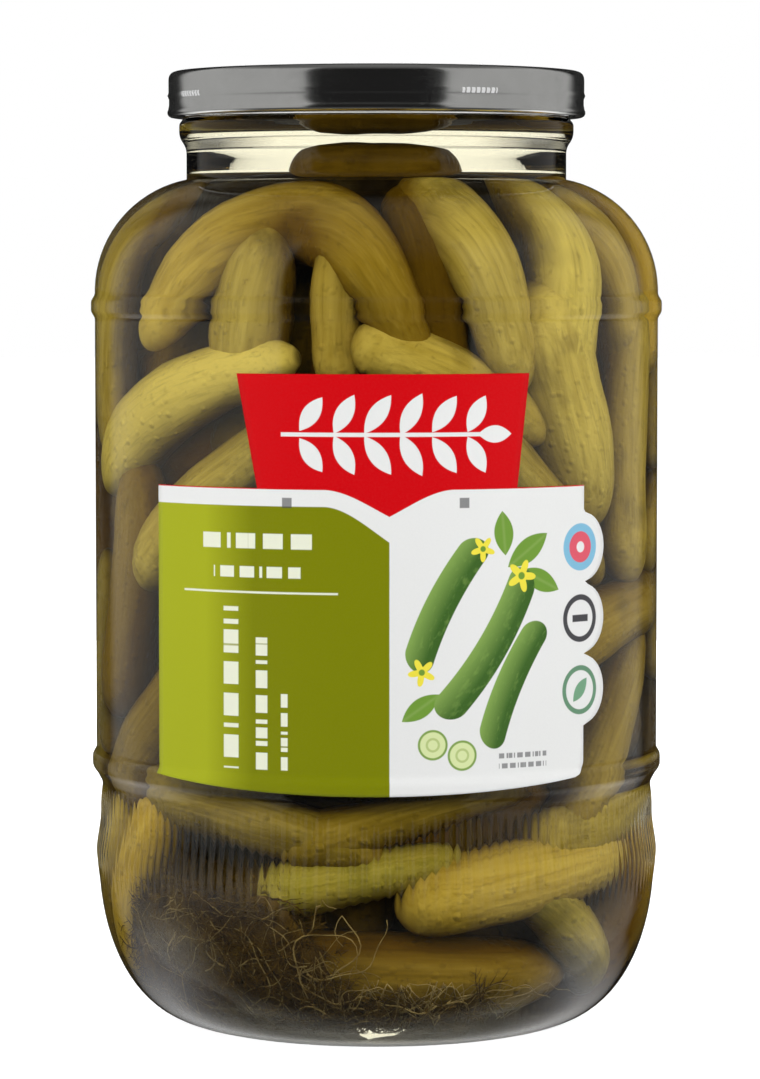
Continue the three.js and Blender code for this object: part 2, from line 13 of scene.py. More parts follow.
import bmesh
import bpy
import numpy as np
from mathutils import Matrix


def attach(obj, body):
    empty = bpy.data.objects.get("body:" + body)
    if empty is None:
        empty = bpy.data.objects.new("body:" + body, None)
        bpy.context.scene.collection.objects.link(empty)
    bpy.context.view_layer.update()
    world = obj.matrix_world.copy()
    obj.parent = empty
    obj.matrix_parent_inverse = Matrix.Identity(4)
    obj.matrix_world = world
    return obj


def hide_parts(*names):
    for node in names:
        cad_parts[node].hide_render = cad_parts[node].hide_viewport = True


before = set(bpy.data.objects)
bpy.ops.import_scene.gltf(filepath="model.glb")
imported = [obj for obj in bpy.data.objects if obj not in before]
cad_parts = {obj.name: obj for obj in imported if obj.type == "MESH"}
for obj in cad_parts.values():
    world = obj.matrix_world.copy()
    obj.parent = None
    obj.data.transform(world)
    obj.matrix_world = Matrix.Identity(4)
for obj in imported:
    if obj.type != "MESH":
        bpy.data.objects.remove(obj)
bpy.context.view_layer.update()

MM = 0.001
BODY = "root"
CHANCE_SEED = 11.0
MARKS = ("share", "tone", "hue", "depth")
Profile = list[tuple[float, float]]
Colour = tuple[float, float, float]

log = logging.getLogger("jar")


class Lamp(Enum):
    """A soft light: its azimuth and elevation in degrees, its width and height, and its power."""

    LEFT = (-40.0, 10.0, 600.0, 900.0, 3.5)
    RIGHT = (38.0, 10.0, 600.0, 900.0, 3.2)
    FAR_LEFT = (-82.0, 14.0, 500.0, 900.0, 3.2)
    FAR_RIGHT = (80.0, 14.0, 500.0, 900.0, 3.4)
    ABOVE = (2.0, 38.0, 800.0, 450.0, 2.0)
    BEHIND = (180.0, 20.0, 900.0, 900.0, 4.5)


def operator_node(operation: str, swapped: bool = False) -> Callable[["Value", "Value | float"], "Value"]:
    """Makes a Python operator that adds a Math node.

    Args:
        operation: What the node does.
        swapped: Whether the other value comes first.

    Returns:
        The operator.
    """

    def apply(self: "Value", other: "Value | float") -> "Value":
        """Adds the node to the value's tree."""
        values = (other, self) if swapped else (self, other)
        return self.tree.maths(operation, *values)

    return apply


class Value:
    """A number that varies over a surface, with its Math nodes as Python operators."""

    def __init__(self, tree: "Tree", socket: bpy.types.NodeSocket) -> None:
        """Wraps an output socket of a tree."""
        self.tree = tree
        self.socket = socket

    __add__ = __radd__ = operator_node("ADD")
    __sub__ = operator_node("SUBTRACT")
    __rsub__ = operator_node("SUBTRACT", swapped=True)
    __mul__ = __rmul__ = operator_node("MULTIPLY")
    __truediv__ = operator_node("DIVIDE")
    __rtruediv__ = operator_node("DIVIDE", swapped=True)
    __pow__ = operator_node("POWER")
    most = operator_node("MAXIMUM")
    least = operator_node("MINIMUM")

    def __abs__(self) -> "Value":
        """The size without its sign."""
        return self.tree.maths("ABSOLUTE", self)

    def clamped(self) -> "Value":
        """The value held between 0 and 1."""
        return self.tree.maths("ADD", self, 0.0, clamp=True)

    def rising(self, low: float, high: float) -> "Value":
        """A smooth rise from 0 at low to 1 at high.

        Args:
            low: The value where the rise starts.
            high: The value where it ends. Below low, the result falls instead.

        Returns:
            The rise.
        """
        return self.tree.maths("MULTIPLY_ADD", self, 1 / (high - low), -low / (high - low), clamp=True)


class Tree:
    """A node tree that is being built."""

    def __init__(self, tree: bpy.types.NodeTree) -> None:
        """Wraps an empty tree."""
        self.tree = tree

    def feed(self, socket: bpy.types.NodeSocket, value: object) -> None:
        """Links or sets an input socket.

        Args:
            socket: The input.
            value: A Value or output socket to link, or a plain value to set.
        """
        if isinstance(value, Value):
            value = value.socket
        if isinstance(value, bpy.types.NodeSocket):
            self.tree.links.new(value, socket)
        elif socket.type == "RGBA" and len(value) == 3:
            socket.default_value = (*value, 1.0)
        else:
            socket.default_value = value

    def node(self, kind: str, settings: dict | None = None, inputs: dict | None = None) -> bpy.types.Node:
        """Adds a node.

        Args:
            kind: The node's type.
            settings: Its settings by name.
            inputs: What feeds its inputs, by their names or numbers.

        Returns:
            The node.
        """
        made = self.tree.nodes.new(kind)
        for name, value in (settings or {}).items():
            setattr(made, name, value)
        for name, value in (inputs or {}).items():
            self.feed(made.inputs[name], value)
        return made

    def maths(self, operation: str, *values: "Value | float", clamp: bool = False) -> Value:
        """Adds a Math node.

        Args:
            operation: What it does.
            values: What it works on.
            clamp: Whether its result stays between 0 and 1.

        Returns:
            Its result.
        """
        settings = {"operation": operation, "use_clamp": clamp}
        made = self.node("ShaderNodeMath", settings, dict(enumerate(values)))
        return Value(self, made.outputs[0])

    def parts(self, vector: bpy.types.NodeSocket) -> tuple[Value, Value, Value]:
        """The three numbers of a vector."""
        split = self.node("ShaderNodeSeparateXYZ", inputs={0: vector})
        return tuple(Value(self, split.outputs[axis]) for axis in range(3))

    def joined(self, x: Value | float, y: Value | float, z: Value | float) -> bpy.types.NodeSocket:
        """The vector of three numbers."""
        return self.node("ShaderNodeCombineXYZ", inputs={0: x, 1: y, 2: z}).outputs[0]


class Shader(Tree):
    """A material's node tree."""

    def __init__(self, name: str) -> None:
        """Makes an empty material."""
        self.material = bpy.data.materials.new(name)
        self.material.use_nodes = True
        super().__init__(self.material.node_tree)
        self.tree.nodes.clear()

    def place(self) -> bpy.types.NodeSocket:
        """The place on the piece, in metres."""
        return self.node("ShaderNodeTexCoord").outputs["Object"]

    def attribute(self, name: str) -> bpy.types.Node:
        """The node that reads one of the mesh's own attributes."""
        return self.node("ShaderNodeAttribute", {"attribute_name": name})

    def number(self, name: str) -> Value:
        """One of the mesh's own numbers."""
        return Value(self, self.attribute(name).outputs["Fac"])

    def stretched(self, vector: bpy.types.NodeSocket, scale: Sequence[float]) -> bpy.types.NodeSocket:
        """A vector times one number for each axis."""
        return self.node("ShaderNodeVectorMath", {"operation": "MULTIPLY"}, {0: vector, 1: scale}).outputs[0]

    def noise(self, vector: bpy.types.NodeSocket, scale: float, detail: float = 3.0) -> Value:
        """Soft noise about 0.5, with scale spots to a unit of the vector."""
        inputs = {"Vector": vector, "Scale": scale, "Detail": detail}
        return Value(self, self.node("ShaderNodeTexNoise", inputs=inputs).outputs[0])

    def blend(self, factor: Value | float, low: object, high: object) -> bpy.types.NodeSocket:
        """Mixes two colours.

        Args:
            factor: 0 gives low and 1 gives high.
            low: A colour or a colour's socket.
            high: The other.

        Returns:
            The mixed colour.
        """
        made = self.node("ShaderNodeMix", {"data_type": "RGBA"}, {0: factor, 6: low, 7: high})
        return made.outputs[2]

    def bump(self, height: Value, distance: float, strength: float = 1.0) -> bpy.types.NodeSocket:
        """A normal that follows a relief of the given depth in metres."""
        inputs = {"Height": height, "Distance": distance, "Strength": strength}
        return self.node("ShaderNodeBump", inputs=inputs).outputs[0]

    def finish(self, inputs: dict) -> bpy.types.Material:
        """Ends the material with one Principled shader.

        Args:
            inputs: What feeds the shader, by socket name.

        Returns:
            The material.
        """
        surface = self.node("ShaderNodeBsdfPrincipled", inputs=inputs)
        self.node("ShaderNodeOutputMaterial", inputs={"Surface": surface.outputs[0]})
        return self.material


class Growth(Tree):
    """A Geometry Nodes tree and its named inputs."""

    KINDS = {float: "NodeSocketFloat", int: "NodeSocketInt"}

    def __init__(self, name: str, sizes: dict, objects: Sequence[str] = ()) -> None:
        """Makes the tree's interface.

        Args:
            name: The tree's name.
            sizes: The named numbers that it takes, with their values.
            objects: The names of the objects that it takes.
        """
        super().__init__(bpy.data.node_groups.new(name, "GeometryNodeTree"))
        face = self.tree.interface
        face.new_socket("Geometry", in_out="OUTPUT", socket_type="NodeSocketGeometry")
        face.new_socket("Geometry", in_out="INPUT", socket_type="NodeSocketGeometry")
        self.values = dict(sizes)
        self.sockets = {}
        for size, value in sizes.items():
            made = face.new_socket(size, in_out="INPUT", socket_type=self.KINDS[type(value)])
            self.sockets[size] = made.identifier
        for wanted in objects:
            made = face.new_socket(wanted, in_out="INPUT", socket_type="NodeSocketObject")
            self.sockets[wanted] = made.identifier
        made = face.new_socket("Material", in_out="INPUT", socket_type="NodeSocketMaterial")
        self.sockets["Material"] = made.identifier
        self.inlet = self.node("NodeGroupInput")

    def size(self, name: str) -> Value:
        """One of the named inputs."""
        return Value(self, self.inlet.outputs[name])

    def end(self, geometry: bpy.types.NodeSocket) -> None:
        """Ends the tree with Realize Instances and Set Material."""
        real = self.node("GeometryNodeRealizeInstances", inputs={0: geometry})
        inputs = {"Geometry": real.outputs[0], "Material": self.inlet.outputs["Material"]}
        dressed = self.node("GeometryNodeSetMaterial", inputs=inputs)
        self.node("NodeGroupOutput", inputs={0: dressed.outputs[0]})

    def grow(self, base: bpy.types.Object, material: bpy.types.Material, **objects: bpy.types.Object) -> None:
        """Runs the tree on an object and keeps the result as its plain mesh.

        Args:
            base: The object, which keeps its name.
            material: The finish that the tree sets.
            objects: The objects that the tree takes, by input name.
        """
        modifier = base.modifiers.new(self.tree.name, "NODES")
        modifier.node_group = self.tree
        for name, value in {**self.values, **objects, "Material": material}.items():
            modifier[self.sockets[name]] = value
        graph = bpy.context.evaluated_depsgraph_get()
        graph.update()
        grown = bpy.data.meshes.new_from_object(base.evaluated_get(graph))
        base.modifiers.clear()
        base.data = grown
        grown.name = base.name


def chance(index: float, turn: float) -> float:
    """A repeatable random number from 0 to 1, the same as the solids use."""
    wave = math.sin(index * 12.9898 + turn * 78.233 + CHANCE_SEED) * 43758.5453
    return wave - math.floor(wave)


def new_object(
    name: str, vertices: np.ndarray, faces: list, material: bpy.types.Material | None
) -> bpy.types.Object:
    """Makes a smooth mesh object.

    Args:
        name: The piece's name.
        vertices: Points in millimetres, one row each.
        faces: The corners of each face.
        material: Its finish.

    Returns:
        The object, at the origin.
    """
    mesh = bpy.data.meshes.new(name)
    mesh.from_pydata((np.asarray(vertices) * MM).tolist(), [], faces)
    mesh.shade_smooth()
    if material:
        mesh.materials.append(material)
    made = bpy.data.objects.new(name, mesh)
    bpy.context.scene.collection.objects.link(made)
    return made


def turn_outwards(piece: bpy.types.Object) -> None:
    """Merges doubles and points every face of a closed mesh outwards."""
    work = bmesh.new()
    work.from_mesh(piece.data)
    bmesh.ops.remove_doubles(work, verts=work.verts, dist=1e-7)
    bmesh.ops.recalc_face_normals(work, faces=work.faces)
    work.to_mesh(piece.data)
    work.free()


def ring(radius: float, height: float, count: int) -> np.ndarray:
    """Points round the axis, from the front on."""
    angles = np.arange(count) / count * 2 * math.pi
    return np.stack([radius * np.sin(angles), -radius * np.cos(angles), np.full(count, height)], 1)


def skin(rings: Sequence[np.ndarray]) -> tuple[np.ndarray, list]:
    """Faces over rings in order, whose counts may differ.

    Args:
        rings: The rings. One of a single point closes an end.

    Returns:
        The points and the faces.
    """
    starts = np.cumsum([0] + [len(r) for r in rings]).tolist()
    faces = []
    for k in range(len(rings) - 1):
        n, m = len(rings[k]), len(rings[k + 1])
        low, high = starts[k], starts[k + 1]
        if n == m:
            faces += [(low + i, low + (i + 1) % n, high + (i + 1) % n, high + i) for i in range(n)]
            continue
        i = j = 0
        while i < n or j < m:
            if i < n and (i + 0.5) / n <= (j + 0.5) / m:
                if n > 1:
                    faces.append((low + i % n, low + (i + 1) % n, high + j % m))
                i += 1
            else:
                if m > 1:
                    faces.append((low + i % n, high + (j + 1) % m, high + j % m))
                j += 1
    return np.concatenate(rings), faces


def turned(name: str, profile: Profile, count: int, material: bpy.types.Material) -> bpy.types.Object:
    """Turns a profile from axis to axis, or round to its start, into a closed body.

    Args:
        name: The piece's name.
        profile: Radii and heights.
        count: The points in a ring.
        material: Its finish.

    Returns:
        The piece.
    """
    rings = [ring(r, z, count if r > 0 else 1) for r, z in profile]
    if profile[0][0] > 0:
        rings.append(rings[0])
    vertices, faces = skin(rings)
    made = new_object(name, vertices, faces, material)
    turn_outwards(made)
    return made


def rounded(profile: Profile, radius: float, steps: int = 4) -> Profile:
    """Rounds a profile's inner corners.

    Args:
        profile: Radii and heights.
        radius: How far from a corner its rounding starts, where there is room.
        steps: The short lines in each.

    Returns:
        The rounded profile.
    """
    points = [np.array(p, float) for p in profile]
    made = [profile[0]]
    for before, corner, after in zip(points, points[1:], points[2:]):
        back, ahead = before - corner, after - corner
        room = min(radius, np.linalg.norm(back) * 0.45, np.linalg.norm(ahead) * 0.45)
        start = corner + back / np.linalg.norm(back) * room
        end = corner + ahead / np.linalg.norm(ahead) * room
        for i in range(steps + 1):
            t = i / steps
            spot = start * (1 - t) ** 2 + corner * 2 * t * (1 - t) + end * t * t
            made.append((float(spot[0]), float(spot[1])))
    made.append(profile[-1])
    return made


def heel(foot: tuple[float, float], wall: tuple[float, float], steps: int, power: float = 2.15) -> Profile:
    """A quarter of a superellipse from a foot up to a wall."""
    made = []
    for i in range(steps + 1):
        angle = i / steps * math.pi / 2
        out = math.sin(angle) ** (2 / power)
        down = max(math.cos(angle), 0.0) ** (2 / power)
        made.append((foot[0] + (wall[0] - foot[0]) * out, wall[1] - (wall[1] - foot[1]) * down))
    return made


def tube(points: list, faces: list, path: Sequence[np.ndarray], around: Sequence[np.ndarray]) -> None:
    """Adds a closed tube to some points and faces.

    Args:
        points: The points so far.
        faces: The faces so far.
        path: The tube's middle, point by point.
        around: The corners' offsets from each of those points.
    """
    first, sides = len(points), len(around[0])
    for middle, offsets in zip(path, around):
        points.extend(middle + offset for offset in offsets)
    for a in range(first, first + (len(path) - 1) * sides, sides):
        for corner in range(sides):
            after = (corner + 1) % sides
            faces.append((a + corner, a + after, a + sides + after, a + sides + corner))
    last = first + (len(path) - 1) * sides
    faces.append(tuple(range(first + sides - 1, first - 1, -1)))
    faces.append(tuple(range(last, last + sides)))


def smooth_step(x: float, low: float, high: float) -> float:
    """A soft step from 0 at low to 1 at high."""
    t = min(max((x - low) / (high - low), 0.0), 1.0)
    return t * t * (3 - 2 * t)


@dataclass(frozen=True)
class GlassFinish:
    """Clear, faintly green bottle glass with the slight waves of its mould and a stippled foot."""

    tint: Colour = (0.985, 0.993, 0.975)
    wave: float = 0.00006
    frost: float = 0.35

    def material(self) -> bpy.types.Material:
        """Builds the finish."""
        shader = Shader("jar_glass")
        place = shader.place()
        waves = shader.noise(shader.stretched(place, (1.0, 1.0, 0.45)), 70.0, 1.0)
        wear = shader.noise(place, 240.0, 2.0)
        foot = shader.parts(place)[2].rising(0.0032, 0.0012)
        return shader.finish(
            {
                "Base Color": self.tint,
                "Roughness": wear.rising(0.35, 0.9) * 0.03 + foot * self.frost,
                "IOR": 1.5,
                "Transmission Weight": 1.0,
                "Normal": shader.bump(waves, self.wave),
            }
        )


@dataclass(frozen=True)
class BrineFinish:
    """Thin yellowish brine with a faintly uneven surface."""

    tint: Colour = (0.985, 0.93, 0.74)

    def material(self) -> bpy.types.Material:
        """Builds the finish."""
        shader = Shader("brine")
        ripple = shader.noise(shader.place(), 60.0, 1.0)
        drift = shader.noise(shader.place(), 25.0, 2.0)
        stronger = tuple(c**1.3 for c in self.tint)
        return shader.finish(
            {
                "Base Color": shader.blend(drift.rising(0.35, 0.7), self.tint, stronger),
                "Roughness": 0.0,
                "IOR": 1.335,
                "Transmission Weight": 1.0,
                "Normal": shader.bump(ripple, 0.00002),
            }
        )


@dataclass(frozen=True)
class LidFinish:
    """Dark lacquered tinplate with fine turning marks and a row of small pale dashes round the skirt."""

    lacquer: Colour = (0.95, 0.95, 0.92)
    dash: Colour = (0.62, 0.62, 0.62)
    dash_height: float = 191.6
    dash_half: float = 0.6

    def material(self) -> bpy.types.Material:
        """Builds the finish."""
        shader = Shader("lid_metal")
        place = shader.place()
        x, y, z = shader.parts(place)
        radius = (x * x + y * y) ** 0.5
        azimuth = shader.maths("ARCTAN2", x, 0.0 - y)
        marks = shader.noise(shader.joined(radius, z, 0.0), 2600.0, 2.0)
        dull = shader.noise(place, 120.0, 4.0)
        panel = shader.maths("FRACT", azimuth * (4 / (2 * math.pi)) + 0.181)
        inside = panel.rising(0.44, 0.441) * panel.rising(0.56, 0.559)
        stroke = shader.maths("FRACT", azimuth * 38.0)
        band = abs(z * 1000.0 - self.dash_height).rising(self.dash_half, self.dash_half - 0.12)
        dashes = inside * stroke.rising(0.3, 0.34) * band * radius.rising(0.0425, 0.0426)
        colour = shader.blend(dull.rising(0.3, 0.8) * 0.5, self.lacquer, tuple(c * 0.8 for c in self.lacquer))
        return shader.finish(
            {
                "Base Color": shader.blend(dashes, colour, self.dash),
                "Metallic": 1.0 - dashes * 0.9,
                "Roughness": 0.13 + dull.rising(0.3, 0.8) * 0.07 + dashes * 0.25,
                "IOR": 1.5,
                "Normal": shader.bump(marks, 0.000006),
            }
        )


@dataclass(frozen=True)
class CucumberFinish:
    """Pickled cucumber skin: olive to amber, streaked, with pale ends, small warts, and painted shade deeper
    behind the glass.
    """

    deep: Colour = (0.065, 0.040, 0.004)
    olive: Colour = (0.40, 0.295, 0.030)
    khaki: Colour = (0.70, 0.55, 0.11)
    amber: Colour = (0.62, 0.35, 0.014)
    green: Colour = (0.30, 0.31, 0.020)
    dimmed: Colour = (0.23, 0.17, 0.065)

    def material(self) -> bpy.types.Material:
        """Builds the finish."""
        shader = Shader("cucumber")
        grain = shader.attribute("grain").outputs["Vector"]
        share, tone, hue, depth = (shader.number(name) for name in MARKS)
        streaks = shader.noise(shader.stretched(grain, (1.0, 1.0, 0.13)), 0.55, 3.0)
        threads = shader.noise(shader.stretched(grain, (1.0, 1.0, 0.06)), 1.7, 2.0)
        patches = shader.noise(grain, 0.09, 2.0)
        spots = shader.noise(grain, 0.8, 3.0)
        inputs = {"Vector": grain, "Scale": 0.42, "Randomness": 0.9}
        warts = Value(shader, shader.node("ShaderNodeTexVoronoi", inputs=inputs).outputs["Distance"])
        wart = warts.rising(0.34, 0.08)
        pale = (streaks * 1.5 + tone * 0.9 - 0.9).rising(0.0, 0.8)
        colour = shader.blend(pale, self.olive, self.khaki)
        colour = shader.blend(hue.clamped() * 0.75, colour, self.amber)
        colour = shader.blend((hue * -1.0).clamped() * patches.rising(0.2, 0.6) * 0.7, colour, self.green)
        colour = shader.blend(patches.rising(0.56, 0.75) * 0.45, colour, self.deep)
        colour = shader.blend(threads.rising(0.54, 0.72) * 0.25, colour, self.khaki)
        colour = shader.blend(threads.rising(0.46, 0.3) * 0.22, colour, self.deep)
        ends = abs(share).rising(0.80, 0.99)
        colour = shader.blend(ends * spots.rising(0.2, 0.7) * 0.5, colour, self.khaki)
        scar = share.rising(0.975, 0.995)
        colour = shader.blend(scar * 0.75, colour, self.deep)
        colour = shader.blend(spots.rising(0.62, 0.74) * 0.28, colour, self.deep)
        # Darker for a low tone, which is the cucumber's own colour, and darker the deeper the skin lies
        # behind the glass: painted shade standing in for the brine and the cucumbers around it.
        dim = ((1.0 - tone) * 0.62 + depth.rising(0.8, 9.0) * 0.9).least(1.0)
        colour = shader.blend(dim, colour, shader.stretched(colour, self.dimmed))
        relief = wart * 0.8 + streaks * 0.7 + spots * 0.6
        return shader.finish(
            {
                "Base Color": colour,
                "Roughness": 0.34 + spots * 0.2,
                "IOR": 1.25,
                "Specular IOR Level": 0.4,
                "Normal": shader.bump(relief, 0.00035, 0.9),
            }
        )


@dataclass(frozen=True)
class CoreFinish:
    """A near-black stand-in for the shaded inside of the heap, which only shows in the gaps: painted shade.
    """

    # Near-black painted shade, with slightly lighter lumps.
    dark: Colour = (0.009, 0.006, 0.003)
    light: Colour = (0.030, 0.021, 0.007)

    def material(self) -> bpy.types.Material:
        """Builds the finish."""
        shader = Shader("heap_inside")
        lumps = shader.noise(shader.place(), 110.0, 4.0)
        return shader.finish(
            {
                "Base Color": shader.blend(lumps.rising(0.4, 0.7), self.dark, self.light),
                "Roughness": 0.6,
                "Specular IOR Level": 0.2,
                "Normal": shader.bump(lumps, 0.002),
            }
        )


@dataclass(frozen=True)
class DillFinish:
    """Brown-green dill that has lain in brine."""

    dark: Colour = (0.030, 0.011, 0.0012)
    light: Colour = (0.19, 0.115, 0.017)

    def material(self, name: str = "dill_herb") -> bpy.types.Material:
        """Builds the finish under a name."""
        shader = Shader(name)
        place = shader.place()
        tone = shader.noise(place, 420.0, 2.0)
        drift = shader.noise(place, 60.0, 2.0)
        mixed = (tone * 0.8 + drift * 0.7 - 0.25).rising(0.2, 0.85)
        return shader.finish(
            {
                "Base Color": shader.blend(mixed, self.dark, self.light),
                "Roughness": 0.45 + tone * 0.2,
                "Specular IOR Level": 0.25,
                "Normal": shader.bump(tone, 0.0002),
            }
        )


@dataclass(frozen=True)
class FloorFinish:
    """A pale, faintly glowing table, so that it meets the white behind it without a line."""

    near: float = 0.74
    far: float = 1.0

    def material(self) -> bpy.types.Material:
        """Builds the finish."""
        shader = Shader("pale_floor")
        x, y, _ = shader.parts(shader.place())
        away = ((x * x + y * y) ** 0.5).rising(0.1, 0.75)
        matt = shader.node("ShaderNodeBsdfDiffuse", inputs={"Color": (0.62, 0.62, 0.62)})
        inputs = {"Color": (1.0, 1.0, 1.0), "Strength": self.near + away * (self.far - self.near)}
        glow = shader.node("ShaderNodeEmission", inputs=inputs)
        both = shader.node("ShaderNodeAddShader", inputs={0: matt.outputs[0], 1: glow.outputs[0]})
        shader.node("ShaderNodeOutputMaterial", inputs={"Surface": both.outputs[0]})
        return shader.material


class Artwork:
    """A plain printed design, drawn with masks over the label's own flat coordinates in millimetres."""

    SOFT = 0.16

    def __init__(self, shader: Shader) -> None:
        """Reads the flat coordinates: u along the arc from the front, z the height."""
        self.shader = shader
        across, up, _ = shader.parts(shader.node("ShaderNodeUVMap", {"uv_map": "flat"}).outputs[0])
        self.u = across * 100.0
        self.z = up * 100.0

    def inside(self, distance: Value, limit: float) -> Value:
        """1 where a distance is under its limit, with a soft edge."""
        start = limit / self.SOFT + 0.5
        return self.shader.maths("MULTIPLY_ADD", distance, -1 / self.SOFT, start, clamp=True)

    def away(self, u: float, z: float) -> Value:
        """The distance from a point."""
        return ((self.u - u) ** 2 + (self.z - z) ** 2) ** 0.5

    def disc(self, u: float, z: float, radius: float) -> Value:
        """A filled circle."""
        return self.inside(self.away(u, z), radius)

    def hoop(self, u: float, z: float, radius: float, half: float) -> Value:
        """A circle's line."""
        return self.inside(abs(self.away(u, z) - radius), half)

    def block(self, left: float, right: float, low: float, high: float) -> Value:
        """A filled rectangle."""
        beside = abs(self.u - (left + right) / 2) - (right - left) / 2
        above = abs(self.z - (low + high) / 2) - (high - low) / 2
        return self.inside(beside.most(above), 0.0)

    def turned(self, centre: tuple[float, float], angle: float) -> tuple[Value, Value]:
        """Coordinates along and across a direction, in degrees from level, about a point."""
        c, s = math.cos(math.radians(angle)), math.sin(math.radians(angle))
        du, dz = self.u - centre[0], self.z - centre[1]
        return du * c + dz * s, dz * c - du * s

    def leaf(self, centre: tuple[float, float], angle: float, half: float, width: float) -> Value:
        """A pointed leaf.

        Args:
            centre: Its middle.
            angle: Its direction in degrees from level.
            half: Half its length.
            width: Half its width.

        Returns:
            Its mask.
        """
        along, across = self.turned(centre, angle)
        return self.inside(abs(across) + along * along * (width / half**2), width)

    def gherkin(
        self, centre: tuple[float, float], angle: float, half: float, width: float, bow: float
    ) -> tuple[Value, Value]:
        """A bent, round-ended cucumber.

        Args:
            centre: Its middle.
            angle: Its direction in degrees from level.
            half: Half its length.
            width: Half its width.
            bow: How far its middle stands out sideways.

        Returns:
            Its mask, and the place across it from -1 to 1.
        """
        along, across = self.turned(centre, angle)
        bent = across - bow + along * along * (bow / half**2)
        past = (abs(along) - (half - width)).most(0.0)
        away = (bent * bent + past * past) ** 0.5
        return self.inside(away, width), bent / width

    def flower(self, u: float, z: float, radius: float, turn: float) -> Value:
        """A five-petalled flower."""
        du, dz = self.u - u, self.z - z
        away = (du * du + dz * dz) ** 0.5
        angle = self.shader.maths("ARCTAN2", dz, du)
        petals = self.shader.maths("COSINE", angle * 5.0 + turn)
        return self.inside(away - petals * (radius * 0.3), radius * 0.7)

    def strokes(self, along: Value, scale: float, turn: float) -> Value:
        """Short strokes of uneven length along a direction."""
        slow = self.shader.maths("SINE", along * scale + turn)
        fast = self.shader.maths("SINE", along * (scale * 2.37) + turn * 3.0)
        return (slow + fast * 0.8).rising(-0.5, -0.35)

    def over(self, colour: object, mask: Value, ink: object, *more: object) -> bpy.types.NodeSocket:
        """Prints an ink over a colour.

        Args:
            colour: What is there.
            mask: Where the ink goes.
            ink: Its colour.
            more: Further masks and inks, in turn.

        Returns:
            The printed colour.
        """
        printed = self.shader.blend(mask, colour, ink)
        return self.over(printed, *more) if more else printed


